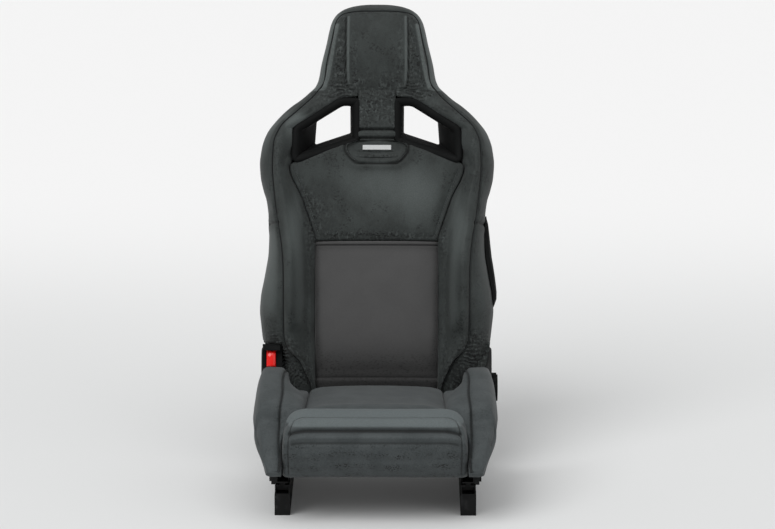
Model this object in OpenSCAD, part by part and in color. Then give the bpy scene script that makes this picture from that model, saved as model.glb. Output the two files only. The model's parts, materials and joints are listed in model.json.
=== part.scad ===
// Reclining sports seat with an integrated headrest, belt openings and slide rails.
// Millimetres. The seat faces -Y, +X is on the right seen from the front, +Z is up.
// The origin is the centre of the floor bolt pattern, on the floor.
// Backrest pieces are drawn in the backrest's own frame: x across, -t along Y, s up the back
// from the recliner axis, so a point is written as [x, -t, s].

/* [Stance] */
// Distance between the centre lines of the two rails
rail_spacing = 416; // [404:1:420]
// Distance from the front to the rear floor bolts
floor_bolt_pitch = 340; // [280:10:380]
// Radius of a floor bolt hole
floor_hole_r = 4.5; // [4:0.1:5.5]
// Height of the risers under the rails
riser_h = 48; // [48:1:48]
// Length of the risers and the floor rails
rail_len = 430; // [420:1:450]

/* [Pivot] */
// Distance of the recliner axis behind the origin
pivot_y = 185; // [184:1:186]
// Height of the recliner axis
pivot_z = 190; // [189:1:191]
// Backrest angle behind upright
recline = 18; // [17:1:19]
// Radius of the shaft that joins the two recliners
shaft_r = 7; // [6:0.5:7]
// Radial clearance of a running fit
run_gap = 0.05; // [0.02:0.01:0.1]

/* [Cushion] */
// Half width of the centre panel at the rear
panel_rear = 152; // [150:1:153]
// Half width of the centre panel at the front
panel_front = 159; // [156:1:160]
// Height of the cushion at its rear edge
cushion_rear_z = 207; // [200:1:212]
// Height of the cushion at the first front seam
cushion_seam_z = 260; // [255:1:262]
// Half width of the cushion over its bolsters
cushion_half = 271; // [268:1:272]
// Half width of the front roll
roll_half = 205; // [203:1:206]

/* [Backrest] */
// Half width of the lumbar panel
lumbar_half = 141; // [139:1:142]
// Height of the lumbar panel's top seam up the back
lumbar_top = 336; // [334:1:338]
// Front of the lumbar panel
lumbar_t = 58; // [54:1:60]
// Front of the shoulder panel
shoulder_t = 57; // [54:1:58]
// Half width of the neck
neck_half = 41; // [40:1:42]
// Depth of the upholstery's rear face behind the backrest plane
pad_rear = 8; // [8:0.5:9]
// Rear face of the back shell
shell_t = 48; // [46:1:50]

/* [Hidden] */

// Finishes
steel_black = [0.11, 0.11, 0.115];
zinc = [0.62, 0.63, 0.65];
plastic_black = [0.13, 0.14, 0.14];
suede = [0.25, 0.28, 0.27];
panel_cloth = [0.31, 0.31, 0.31];
cushion_cloth = [0.35, 0.37, 0.38];
lever_red = [0.85, 0.12, 0.08];

// Rails
rail_x = rail_spacing / 2;
riser_w = 35;
riser_wall = 4;
rail_w = 33;
rail_z = riser_h;
rail_h = 22;
rail_wall = 2.5;
rail_slot = 14;
foot_w = 18;
foot_z = rail_z + 6;
foot_h = 8;
stem_w = 10;
seat_rail_len = 380;
seat_rail_top = 84;
seat_flange_w = 28;
seat_flange_t = 3;
screw_r = 3;
screw_hole_r = 3.4;
rail_screw_y = [-120, 120];
frame_bolt_y = [-150, -40, 80, 160];
ball_r = 2.2;
ball_pitch = 32;
cage_len = 200;
cage_t = 1.2;

// Side frames and recliners, measured from the middle plane outwards
side_in = 218;
side_t = 4;
side_z = 84;
side_top = 150;
side_front_y = -245;
side_rear_y = 225;
plate_in = side_in + side_t;
plate_t = 5;
plate_r = 42;
disc_in = plate_in + plate_t;
disc_t = 6;
disc_r = 40;
disc_gap = 0.4;
upper_in = disc_in + disc_t + disc_gap;
upper_t = 5.6;
upper_r = 37;
arm_in = upper_in + upper_t;
arm_t = 3.6;
arm_r = 44;
bracket_in = arm_in + arm_t + disc_gap;
bracket_t = 4;
boss_r = 12;
boss_out = bracket_in + bracket_t + 2.5;
cover_in = boss_out + 0.5;
cover_out = 267;
cover_wall = 3;
wheel_in = cover_out + 0.5;
wheel_out = 281;
wheel_r = 35;
hub_gap_r = shaft_r + 2;

// Cushion, as [y, z] points of the side view
pan_rear = [106, 139];
pan_front = [-242, 196];
pan_t = 2;
pan_half = 149;
tube_front = [-205, 136];
tube_rear = [70, 118];
tube_r = 11;
tube_wall = 2;
bar_pivot = [-96, 98];
bar_front = [-262, 110];
bar_r = 5;
bar_half = 170;
stud_r = 4;
bolster_arc_r = 150;
// Top edge of a cushion bolster, front to rear, as [y, z]
bolster_top = [[-326, 138], [-318, 162], [-290, 196], [-262, 214], [-242, 228], [-228, 256],
               [-205, 265], [-150, 275], [-90, 285], [-40, 292], [20, 288], [58, 274]];
// Inner edge of a cushion bolster, as [y, x]
bolster_in = [[-326, 207.5], [-292, 207], [-282, 205], [-270, 196], [-262, 180], [-255, 162],
              [-245, 160.5], [58, 154]];
// Height at that inner edge, as [y, z]
bolster_in_z = [[-326, 134], [-318, 158], [-290, 188], [-270, 206], [-262, 216], [-255, 238],
                [-248, 250], [-200, 251], [-20, 226], [58, 214]];
// Inner edge of the crest, as [y, x]
bolster_crest = [[-326, 213], [-290, 217], [-242, 219], [-228, 217], [-150, 213], [-40, 210],
                 [20, 205], [58, 200]];
// How far the side lies inside the cushion's half width, as [y, x]
bolster_tuck = [[-326, 39], [-318, 29], [-290, 15], [-242, 5], [-180, 0], [-40, 2], [58, 9]];
// Lower edge of the side skirt, as [y, z]
bolster_skirt = [[-326, 130], [-318, 119], [-300, 116], [-250, 117], [-150, 122], [0, 132],
                 [58, 140]];
// Front roll in side view at the middle, from the first seam over the front to the bottom
roll_profile = [[-256, 258], [-266, 261], [-280, 258], [-295, 250], [-309, 248], [-321, 240],
                [-328, 228], [-331, 222], [-336, 213], [-334, 190], [-326, 160], [-314, 132],
                [-301, 114], [-292, 112], [-284, 118], [-272, 140], [-268, 190], [-260, 208]];

// Backrest outline: half width at a height s up the back
back_half = [[96, 262], [112, 264], [145, 268], [177, 271], [210, 269], [243, 263], [276, 257],
             [309, 252], [350, 250.5], [384, 251], [407, 253], [434, 257], [457, 264], [490, 271],
             [523, 273], [556, 269], [589, 258], [622, 234], [655, 200], [671, 179], [688, 160],
             [704, 144], [721, 137], [754, 131], [804, 119], [837, 112], [854, 107], [870, 98],
             [882, 84], [890, 66], [896, 36]];
// Seam between the middle panels and a bolster or an arm, as [s, x]
seam_x = [[0, 143], [346, 143], [358, 147], [434, 173], [509, 203], [516, 199], [530, 197],
          [598, 197]];
seam_t = [[0, 52], [300, 54], [434, 62], [509, 67], [620, 74]];
// Foot of the bolster's inner wall and its crest, as [s, x] and [s, t]
wall_x = [[0, 145], [30, 152], [60, 158], [120, 162], [300, 166], [361, 176], [434, 194],
          [509, 214]];
wall_t = [[0, 50], [60, 62], [262, 70], [434, 74], [509, 76]];
crest_x = [[0, 149], [30, 162], [60, 176], [90, 194], [120, 199], [300, 200], [361, 208],
           [434, 217], [509, 231], [600, 226]];
crest_t = [[0, 54], [20, 64], [60, 80], [90, 90], [119, 99], [145, 116], [180, 124], [262, 125],
           [310, 121], [361, 111], [434, 99], [509, 91], [600, 80]];
outer_x = [[0, 152], [30, 166], [57, 180], [80, 203], [107, 214], [123, 215], [262, 216],
           [310, 219], [361, 226], [434, 237], [511, 247], [600, 240]];
outer_t = [[0, 48], [20, 56], [60, 70], [119, 88], [180, 112], [262, 114], [361, 100], [434, 88],
           [511, 80], [600, 70]];
// Outline of the bolsters' lower ends, as [s, x]: the left one makes room for the lever
low_left = [[0, 203], [60, 212], [97, 215], [99, 240], [103, 260], [112, 264]];
low_right = [[0, 203], [48, 210], [58, 232], [66, 252], [80, 260], [112, 264]];
// Outline of the shoulder panel, as [s, x]
shoulder_half = [[338, 141], [346, 141], [358, 145], [434, 171], [509, 201], [514, 197],
                 [518, 187], [525, 166], [534, 140], [546, 104], [558, 68], [566, 44]];
// Inner edge of the arm above the belt opening, as [s, x]
arm_top_x = [[598, 197], [604, 191], [634, 145], [664, 99], [673, 85], [675, 62], [677, 46],
             [689, 44]];
// Front of the headrest, as [s, t]
head_t = [[690, 60], [720, 66], [780, 74], [830, 73], [870, 62], [890, 40], [896, 20]];
// Corners of a belt opening, as [x, s]: the front rim and the clear hole at the rear
rim_corners = [[45, 571], [45, 666], [84, 666], [190, 598], [193, 521]];
hole_corners = [[62, 602], [63, 670], [77, 670], [142, 630], [146, 574]];
rim_depth = [57, 60, 63, 76, 73];
rim_round = [8, 9, 14, 12, 22];
bezel_wall = 3;
bezel_rear_t = 52;
shell_wall = 2.5;
shell_inset = 3;
shell_bottom = 64;
shell_split = 530;
hoop_r = 11;
hoop_t = 24;
weld = 0.4;
hoop_x = bracket_in - hoop_r;
cross_half = hoop_x - hoop_r - 1;
hoop_path = [[hoop_x, 95], [hoop_x, 250], [228, 340], [228, 420], [hoop_x, 500], [190, 632],
             [112, 700], [86, 838], [0, 838]];
mat_t = 11.4;
mat_r = 1.5;
mat_rows = [for (s = [150:42:444]) s];
mat_columns = [-90, 0, 90];
hub_half = 216;
hub_clear = 46;
ring_steps = 2;
// Red lever: the middle of its pin as [x, t, s], and its sizes
lever_pivot = [243, 57, 82];
lever_w = 22;
lever_drop = 38;
lever_pin_r = 2.5;
cable_r = 2.5;
bezel_x = [218, 263];
bezel_t = [46, 66];
bezel_s = [42, 96];

// Row of a table of [position, value] pairs that holds position v
function row_at(tab, v, i = 0) =
    i >= len(tab) - 2 || tab[i + 1][0] > v ? i : row_at(tab, v, i + 1);
// Slope between rows i and i + 1
function secant(tab, i) = (tab[i + 1][1] - tab[i][1]) / (tab[i + 1][0] - tab[i][0]);
// Slope at row i, level at a peak, so that the curve never overshoots
function slope(tab, i) =
    i == 0 ? secant(tab, 0) :
    i == len(tab) - 1 ? secant(tab, i - 1) :
    let (a = secant(tab, i - 1), b = secant(tab, i))
    a * b <= 0 ? 0 : 2 * a * b / (a + b);
// Smooth value of a table at v
function at(tab, v) =
    let (i = row_at(tab, v), h = tab[i + 1][0] - tab[i][0],
         u = min(max((v - tab[i][0]) / h, 0), 1),
         a = tab[i][1], b = tab[i + 1][1], da = slope(tab, i) * h, db = slope(tab, i + 1) * h)
    a + u * da + u * u * (3 * (b - a) - 2 * da - db) + u * u * u * (da + db - 2 * (b - a));
function mix(a, b, u) = a + (b - a) * u;
// Smooth curve through knots, with n steps for each stretch
function curve(p, n) = [
    for (i = [0:len(p) - 2]) for (k = [0:n - 1])
        let (u = k / n, a = p[max(i - 1, 0)], b = p[i], c = p[i + 1],
             d = p[min(i + 2, len(p) - 1)])
        b + u * (c - a) / 2 + u * u * (a - 2.5 * b + 2 * c - d / 2)
          + u * u * u * (1.5 * b - 1.5 * c + (d - a) / 2),
    p[len(p) - 1]
];
function middle(ring) = [for (k = [0:2]) [for (p = ring) p[k]] * [for (p = ring) 1] / len(ring)];
// A ring drawn in towards its middle
function drawn_in(ring, share) = let (m = middle(ring)) [for (p = ring) mix(m, p, share)];
// An outline with rounded corners, with one radius for all or one for each
function rounded(corners, radii) = [
    for (i = [0:len(corners) - 1])
        let (p = corners[i], a = corners[(i + len(corners) - 1) % len(corners)],
             b = corners[(i + 1) % len(corners)],
             u = (a - p) / norm(a - p), v = (b - p) / norm(b - p),
             r = is_list(radii) ? radii[i] : radii)
        for (k = [0:3]) let (w = k / 3)
        p + u * r * (1 - w) * (1 - w) + v * r * w * w
];

// Right-hand geometry placed on the right (side 1) or mirrored to the left (side -1)
module on_side(side) {
    mirror([side < 0 ? 1 : 0, 0, 0]) children();
}
// Backrest pieces in place, turned about the recliner axis
module in_back() {
    translate([0, pivot_y, pivot_z]) rotate([-recline, 0, 0]) children();
}
// A rod along X between two distances from the middle plane
module rod_x(x0, x1, r) {
    translate([x0, 0, 0]) rotate([0, 90, 0]) cylinder(h = x1 - x0, r = r, $fn = 64);
}
// A plate in the YZ plane from [y, z] points, between x0 and x1
module plate_x(x0, x1) {
    translate([x0, 0, 0]) rotate([90, 0, 90]) linear_extrude(x1 - x0) children();
}
// A round bar between two points
module bar(a, b, r) {
    d = b - a;
    translate(a)
        rotate([0, acos(d[2] / norm(d)), atan2(d[1], d[0])])
            cylinder(h = norm(d), r = r, $fn = 32);
}
// Faces between the rings of a skin of n points each
function skin_sides(n, last) = [
    for (i = [0:last - 1]) for (j = [0:n - 1])
        let (p = i * n + j, q = i * n + (j + 1) % n)
        each [[p, q, q + n], [p, q + n, p + n]]
];
// A closed skin over rings of points, with each end closed from its middle
module loft(rings, flip = false) {
    n = len(rings[0]);
    last = len(rings) - 1;
    points = concat([for (r = rings) each r], [middle(rings[0]), middle(rings[last])]);
    a = len(points) - 2;
    b = len(points) - 1;
    ends = [for (j = [0:n - 1]) each [[a, (j + 1) % n, j],
                                      [b, last * n + j, last * n + (j + 1) % n]]];
    faces = concat(skin_sides(n, last), ends);
    polyhedron(points, flip ? [for (f = faces) [f[2], f[1], f[0]]] : faces, convexity = 6);
}
// A closed skin over the rings of a bent wall, which go out along one face and back on the other
module loft_wall(rings) {
    n = len(rings[0]);
    last = len(rings) - 1;
    e = last * n;
    ends = [for (j = [0:n / 2 - 2]) each [
        [j + 1, j, n - 1 - j], [j + 1, n - 1 - j, n - 2 - j],
        [e + j, e + j + 1, e + n - 1 - j], [e + j + 1, e + n - 2 - j, e + n - 1 - j]]];
    polyhedron([for (r = rings) each r], concat(skin_sides(n, last), ends), convexity = 6);
}
// A closed skin over rings where the last ring joins the first, such as a frame round a hole
module loft_loop(rings) {
    n = len(rings[0]);
    m = len(rings);
    faces = [
        for (i = [0:m - 1]) for (j = [0:n - 1])
            let (p = i * n + j, q = i * n + (j + 1) % n,
                 r = ((i + 1) % m) * n + (j + 1) % n, s = ((i + 1) % m) * n + j)
            each [[p, q, r], [p, r, s]]
    ];
    polyhedron([for (r = rings) each r], faces, convexity = 6);
}

// Risers: channels open to the inside, closed at both ends, bolted to the floor
module riser(side) {
    color(steel_black) on_side(side) translate([rail_x - riser_w / 2, -rail_len / 2, 0])
        difference() {
            cube([riser_w, rail_len, riser_h]);
            translate([-1, riser_wall, riser_wall])
                cube([riser_w - riser_wall + 1, rail_len - 2 * riser_wall, riser_h - 2 * riser_wall]);
            for (y = [-1, 1])
                translate([riser_w / 2, rail_len / 2 + y * floor_bolt_pitch / 2, -1])
                    cylinder(h = riser_wall + 2, r = floor_hole_r, $fn = 48);
            for (y = rail_screw_y)
                translate([riser_w / 2, rail_len / 2 + y, riser_h - riser_wall - 1])
                    cylinder(h = riser_wall + 2, r = screw_hole_r, $fn = 32);
        }
}
module riser_left() { riser(-1); }
module riser_right() { riser(1); }

// Floor rails: channels with inturned lips
module lower_rail(side) {
    color(steel_black) on_side(side) translate([rail_x - rail_w / 2, -rail_len / 2, rail_z])
        difference() {
            cube([rail_w, rail_len, rail_h]);
            translate([rail_wall, -1, rail_wall])
                cube([rail_w - 2 * rail_wall, rail_len + 2, rail_h - 2 * rail_wall]);
            translate([(rail_w - rail_slot) / 2, -1, rail_wall])
                cube([rail_slot, rail_len + 2, rail_h]);
            for (y = rail_screw_y)
                translate([rail_w / 2, rail_len / 2 + y, -1])
                    cylinder(h = rail_wall + 2, r = screw_hole_r, $fn = 32);
        }
}
module lower_rail_left() { lower_rail(-1); }
module lower_rail_right() { lower_rail(1); }

// Flat-headed screws that hold the floor rails on the risers, with their nuts
module rail_screws() {
    color(zinc) for (side = [-1, 1]) for (y = rail_screw_y)
        translate([side * rail_x, y, riser_h]) {
            translate([0, 0, -12]) cylinder(h = 12 + rail_wall, r = screw_r, $fn = 32);
            translate([0, 0, rail_wall]) cylinder(h = 2, r = 6, $fn = 32);
            translate([0, 0, -riser_wall - 5]) cylinder(h = 5, r = 5.5, $fn = 6);
        }
}

// Ball cages between the foot of the seat rail and the walls of the floor rail
module ball_cage(side) {
    gap_x = (foot_w / 2 + rail_w / 2 - rail_wall) / 2;
    color(zinc) for (k = [-1, 1])
        translate([side * rail_x + k * gap_x, 0, foot_z + foot_h / 2]) {
            translate([-cage_t / 2, -cage_len / 2, -foot_h / 2]) cube([cage_t, cage_len, foot_h]);
            for (i = [-2.5:1:2.5]) translate([0, i * ball_pitch, 0]) sphere(r = ball_r, $fn = 32);
        }
}
module ball_cage_left() { ball_cage(-1); }
module ball_cage_right() { ball_cage(1); }

// Seat rails: a foot inside the floor rail, a stem through its slot and a flange on top
module upper_rail(side) {
    color(zinc) on_side(side) translate([rail_x, 0, 0]) difference() {
        union() {
            translate([-foot_w / 2, -seat_rail_len / 2, foot_z]) cube([foot_w, seat_rail_len, foot_h]);
            translate([-stem_w / 2, -seat_rail_len / 2, foot_z + 1])
                cube([stem_w, seat_rail_len, seat_rail_top - foot_z - 1]);
            translate([-seat_flange_w / 2, -seat_rail_len / 2, seat_rail_top - seat_flange_t])
                cube([seat_flange_w, seat_rail_len, seat_flange_t]);
        }
        for (y = frame_bolt_y)
            translate([0, y, seat_rail_top - 14]) cylinder(h = 20, r = screw_hole_r, $fn = 32);
    }
}
module upper_rail_left() { upper_rail(-1); }
module upper_rail_right() { upper_rail(1); }

// Side members of the seat frame: an upright web on a flange
module seat_side(side) {
    web = [[side_front_y, side_z], [side_rear_y, side_z], [side_rear_y + 2, pivot_z],
           [pivot_y + 26, pivot_z + 30], [pivot_y - 26, pivot_z + 30], [pivot_y - 46, pivot_z - 4],
           [pivot_y - 62, side_top], [-200, side_top], [side_front_y, side_z + 34]];
    color(steel_black) on_side(side) difference() {
        union() {
            plate_x(side_in, side_in + side_t) polygon(web);
            translate([rail_x - seat_flange_w / 2, side_front_y, side_z])
                cube([side_in + side_t - rail_x + seat_flange_w / 2, side_rear_y - side_front_y,
                      seat_flange_t]);
        }
        for (y = frame_bolt_y)
            translate([rail_x, y, side_z - 1]) cylinder(h = 8, r = screw_hole_r, $fn = 32);
        translate([side_in - 1, pivot_y, pivot_z]) rod_x(0, side_t + 2, hub_gap_r);
        for (p = [tube_front, tube_rear])
            translate([side_in - 1, p[0], p[1]]) rod_x(0, side_t + 2, tube_r - tube_wall);
    }
}
module seat_side_left() { seat_side(-1); }
module seat_side_right() { seat_side(1); }

// Bolts that hold the seat frame on the seat rails
module frame_bolts() {
    color(zinc) for (side = [-1, 1]) for (y = frame_bolt_y)
        translate([side * rail_x, y, side_z + seat_flange_t]) {
            translate([0, 0, -14]) cylinder(h = 14, r = screw_r, $fn = 32);
            cylinder(h = 4, r = 5.5, $fn = 6);
        }
}

// Latch housings of the slide, on the outer side of the seat rails, with the bar's pivot stud
module slide_latch(side) {
    color(steel_black) on_side(side) {
        translate([plate_in + 0.2, -222, side_z - 10]) cube([10, 60, 20]);
        translate([plate_in + 5.4, -206, side_z + 10]) cylinder(h = 9, r = 5, $fn = 32);
        translate([plate_in + 10.2, -196, side_z - 4]) rod_x(0, 5, 6);
        translate([rail_x - seat_flange_w / 2 - 8, bar_pivot[0] - 15, side_z + seat_flange_t])
            cube([20, 30, 20]);
        translate([bar_half, bar_pivot[0], bar_pivot[1]]) rod_x(0, 18, stud_r);
    }
}
module slide_latch_left() { slide_latch(-1); }
module slide_latch_right() { slide_latch(1); }

// Cross tubes between the side members
module seat_cross_tubes() {
    color(steel_black) for (p = [tube_front, tube_rear]) translate([0, p[0], p[1]]) difference() {
        rod_x(-side_in, side_in, tube_r);
        rod_x(-side_in - 1, side_in + 1, tube_r - tube_wall);
    }
}

// Pressed pan under the centre of the cushion, with side webs that stand on the tubes
module seat_pan() {
    sheet = [pan_rear, pan_front, [-262, 196], [-266, 190], [-266, 150], [-264, 150], [-264, 188],
             [-260.5, 194], pan_front - [0, pan_t], pan_rear - [0, pan_t]];
    web = [pan_rear - [0, pan_t], pan_front - [0, pan_t], [-242, 122], [90, 112]];
    color(steel_black) difference() {
        union() {
            plate_x(-pan_half, pan_half) polygon(sheet);
            for (k = [-1, 1]) plate_x(k * (pan_half - 1) - 1, k * (pan_half - 1) + 1) polygon(web);
        }
        for (p = [tube_front, tube_rear])
            translate([0, p[0], p[1]]) rod_x(-pan_half - 1, pan_half + 1, tube_r + 0.1);
        for (y = [-150, -90, -30, 30]) translate([0, y, 160]) cube([170, 26, 90], center = true);
    }
}

// Plastic valances along the lower edge of the cushion
module side_valance(side) {
    trim = [[-150, 88], [110, 88], [118, 96], [118, 112], [110, 116], [-146, 116], [-158, 108],
            [-158, 94]];
    color(plastic_black) on_side(side) {
        plate_x(plate_in + 5, plate_in + 8) polygon(trim);
        for (y = [-120, -20, 80]) translate([plate_in, y, 102]) rod_x(0, 5.5, 5);
    }
}
module side_valance_left() { side_valance(-1); }
module side_valance_right() { side_valance(1); }

// Plates that carry the recliners
module recliner_plate(side) {
    color(steel_black) on_side(side) difference() {
        union() {
            translate([plate_in, pivot_y, pivot_z]) rod_x(0, plate_t, plate_r);
            plate_x(plate_in, plate_in + plate_t)
                polygon([[pivot_y - 40, 100], [pivot_y + 34, 100], [pivot_y + 42, pivot_z],
                         [pivot_y - 42, pivot_z]]);
        }
        translate([plate_in - 1, pivot_y, pivot_z]) rod_x(0, plate_t + 2, hub_gap_r);
    }
}
module recliner_plate_left() { recliner_plate(-1); }
module recliner_plate_right() { recliner_plate(1); }

// Lower halves of the round recliners, with the shaft's bearings
module recliner_lower(side) {
    color(zinc) on_side(side) translate([disc_in, pivot_y, pivot_z]) difference() {
        union() {
            rod_x(0, disc_t, disc_r);
            rod_x(-plate_t - side_t, 0, hub_gap_r - 0.3);
        }
        rod_x(-plate_t - side_t - 1, disc_t + 1, shaft_r + run_gap);
    }
}
module recliner_lower_left() { recliner_lower(-1); }
module recliner_lower_right() { recliner_lower(1); }

// Upper halves of the recliners
module recliner_upper(side) {
    color(zinc) on_side(side) translate([upper_in, pivot_y, pivot_z]) difference() {
        rod_x(0, upper_t, upper_r);
        rod_x(-1, upper_t + 1, shaft_r + 0.4);
    }
}
module recliner_upper_left() { recliner_upper(-1); }
module recliner_upper_right() { recliner_upper(1); }

// Arms on the upper halves, with the hollow boss on which the backrest folds
module recliner_arm(side) {
    color(steel_black) on_side(side) translate([arm_in, pivot_y, pivot_z]) difference() {
        union() {
            rod_x(0, arm_t, arm_r);
            rod_x(arm_t, boss_out - arm_in, boss_r);
        }
        rod_x(-1, boss_out, shaft_r + 0.4);
    }
}
module recliner_arm_left() { recliner_arm(-1); }
module recliner_arm_right() { recliner_arm(1); }

// Centre panel of the cushion
function panel_half(y) = mix(panel_rear, panel_front, (108 - y) / 363);
function panel_top(y) =
    at([[-254, cushion_seam_z - 6], [-246, cushion_seam_z - 1], [-200, cushion_seam_z - 8],
        [-20, 229], [84, cushion_rear_z + 4], [98, cushion_rear_z - 1],
        [108, cushion_rear_z - 18]], y);
function pan_top(y) = mix(pan_rear[1], pan_front[1], (pan_rear[0] - y) / (pan_rear[0] - pan_front[0]));
function panel_ring(y) =
    let (h = panel_half(y), z = panel_top(y), floor = pan_top(y) + 0.3,
         across = [-1, -0.97, -0.88, -0.6, -0.3, 0, 0.3, 0.6, 0.88, 0.97, 1])
    concat([for (u = across) [u * h, y, z - 5 * u * u - 7 * pow(abs(u), 16)]],
           [[h, y, floor + 18], [pan_half, y, floor], [-pan_half, y, floor], [-h, y, floor + 18]]);
module cushion_centre_pad() {
    stations = [108, 104, 98, 84, 50, 10, -30, -70, -110, -150, -190, -220, -240, -250, -254.5];
    color(cushion_cloth) loft([for (y = stations) panel_ring(y)]);
}

// Front roll and apron of the cushion, swept across the seat
roll_stations = [0, 50, 100, 140, 158, 172, 184, 193, 199, 203, 205];
function roll_fall(x) = at([[0, 0], [150, 0], [172, 4], [184, 10], [193, 19], [199, 32], [203, 50],
                            [205, 70]], abs(x));
// Rear edge of the roll where it meets a bolster's inner edge
corner_y = [-247.5, -250, -258, -268, -282];
function roll_limit(x) = lookup(x, [for (y = corner_y) [at(bolster_in, y), y]]) - 0.6;
function roll_ring(x) =
    let (fall = roll_fall(x), draw = at([[0, 0], [184, 0], [199, 5], [205, 16]], abs(x)),
         limit = abs(x) < 160 ? 0 : roll_limit(abs(x)))
    [for (p = roll_profile)
        let (y = p[0] + draw * (p[0] < -290 ? 1 : 0))
        [x, y > limit ? limit - (roll_profile[0][0] - y) / 10 : y,
         p[1] - fall * min(max((p[1] - 150) / 110, 0), 1)]];
module cushion_front_roll() {
    right = [for (x = roll_stations) if (x > 0) roll_ring(x * roll_half / 205)];
    left = [for (i = [len(roll_stations) - 1:-1:0]) roll_ring(-roll_stations[i] * roll_half / 205)];
    color(cushion_cloth) loft(concat(left, right), true);
}

// Cushion bolsters: the rear end follows an arc about the recliner axis
function arc_y(z) = pivot_y - sqrt(bolster_arc_r * bolster_arc_r - pow(z - pivot_z, 2)) - 1;
function bolster_ring(y) =
    let (xi = at(bolster_in, y), zi = at(bolster_in_z, y), zt = at(bolster_top, y),
         xc = at(bolster_crest, y), xw = cushion_half - at(bolster_tuck, y), zs = at(bolster_skirt, y),
         behind = y > side_front_y - 3,
         notch = behind ? side_top + 2.5 : y > -290 ? 142 : zs + 1,
         low = min(notch, zi - 6), edge = behind ? plate_in + 9 : 214,
         knots = [[xi, low], [xi, mix(low, zi, 0.6)], [xi + 2, zi - 2],
                  [mix(xi, xc, 0.45), mix(zi, zt, 0.5)],
                  [xc - 4, zt - 5], [mix(xc, xw, 0.35), zt], [mix(xc, xw, 0.75), zt - 3],
                  [xw - 5, mix(zs, zt, 0.88)], [xw, mix(zs, zt, 0.64)],
                  [mix(xw, 240, 0.35), mix(zs, zt, 0.43)], [mix(xw, 240, 0.62), mix(zs, zt, 0.26)],
                  [mix(xw, 240, 0.92), mix(zs, zt, 0.09)], [max(edge + 2, 229), zs]])
    concat([for (p = curve(knots, ring_steps)) [p[0], y, p[1]]],
           [[edge, y, min(zs + 2, notch - 0.2)], [edge, y, notch],
            [mix(edge, xi, 0.5), y, min(notch, zi - 6)]]);
// The ring at the rear end bent onto the arc, and its neighbours part of the way
function bent(ring, share) = [
    for (p = ring) [p[0], mix(p[1], arc_y(p[2]) + p[1] - 58, share), p[2]]
];
module cushion_bolster(side) {
    stations = [54, 30, -10, -60, -115, -170, -205, -220, -229, -236, -243, -247.5, -250, -258,
                -268, -282, -298, -312, -323];
    full = [for (y = stations) bent(bolster_ring(y), y > 0 ? y / 54 : 0)];
    rings = concat([drawn_in([for (p = full[0]) p + [0, 4, 0]], 0.9)], full,
                   [drawn_in(bolster_ring(-326.5), 0.8)]);
    color(cushion_cloth) on_side(side) loft(rings);
}
module cushion_bolster_left() { cushion_bolster(-1); }
module cushion_bolster_right() { cushion_bolster(1); }

// Bar under the front edge that unlocks the slide, turning on the latch studs
module release_bar() {
    color(steel_black) {
        translate([0, bar_front[0], bar_front[1]]) rod_x(-bar_half, bar_half, bar_r);
        for (k = [-1, 1]) {
            translate([k * bar_half, bar_front[0], bar_front[1]]) sphere(r = bar_r, $fn = 32);
            bar([k * bar_half, bar_front[0], bar_front[1]],
                [k * bar_half, bar_pivot[0] - 8, bar_pivot[1]], bar_r);
            translate([k * (bar_half + 1), bar_pivot[0], bar_pivot[1]]) difference() {
                rod_x(-6, 6, 9);
                rod_x(k > 0 ? -2 : -7, k > 0 ? 7 : 2, stud_r + run_gap);
            }
        }
    }
}

// Shaft that turns both recliners
module sync_shaft() {
    color(zinc) translate([0, pivot_y, pivot_z]) rod_x(-arm_in - 8, wheel_in + 6, shaft_r);
}

// Hand wheel of the recliner, with finger grips round its rim
module hand_wheel() {
    color(plastic_black) translate([0, pivot_y, pivot_z]) difference() {
        union() {
            rod_x(wheel_in, wheel_out - 3, wheel_r);
            rod_x(wheel_out - 3, wheel_out, wheel_r - 4);
        }
        for (a = [0:30:330])
            rotate([a, 0, 0]) translate([wheel_in - 1, wheel_r + 3, 0]) rod_x(0, 20, 6);
        rod_x(wheel_in - 1, wheel_in + 6, shaft_r + 0.01);
        rod_x(wheel_out - 2, wheel_out + 1, 20);
    }
}

// Brackets that fold on the arms' bosses and carry the backrest
module back_bracket(side) {
    color(steel_black) on_side(side) in_back() difference() {
        union() {
            rod_x(bracket_in, bracket_in + bracket_t, 36);
            plate_x(bracket_in, bracket_in + bracket_t)
                polygon([[-34, 10], [33, 0], [31, 60], [29, 240], [10, 240], [9, 104], [-30, 60]]);
        }
        rod_x(bracket_in - 1, bracket_in + bracket_t + 1, boss_r + run_gap);
    }
}
module back_bracket_left() { back_bracket(-1); }
module back_bracket_right() { back_bracket(1); }

// Bent tube that runs up both sides and round the headrest
module back_hoop() {
    color(steel_black) in_back() for (k = [-1, 1]) for (i = [0:len(hoop_path) - 2]) {
        a = [k * hoop_path[i][0], hoop_t, hoop_path[i][1]];
        b = [k * hoop_path[i + 1][0], hoop_t, hoop_path[i + 1][1]];
        bar(a, b, hoop_r);
        translate(b) sphere(r = hoop_r + weld, $fn = 32);
    }
}

// Cross tubes of the backrest, low and under the belt openings, and the neck plate
module back_cross_tubes() {
    color(steel_black) in_back() {
        for (s = [112, 492]) translate([0, hoop_t, s]) rod_x(-cross_half, cross_half, 9);
        for (k = [-1, 1]) bar([k * 26, hoop_t, 499], [k * 26, hoop_t, 838 - hoop_r - 0.5], 7);
    }
}

// Wire mat that carries the lumbar panel, hooked on the hoop
module suspension_mat() {
    color(zinc) in_back() {
        for (s = mat_rows) translate([0, mat_t, s]) rod_x(-226, 226, mat_r);
        for (x = mat_columns)
            bar([x, mat_t, mat_rows[0]], [x, mat_t, mat_rows[len(mat_rows) - 1]], mat_r);
    }
}

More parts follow.
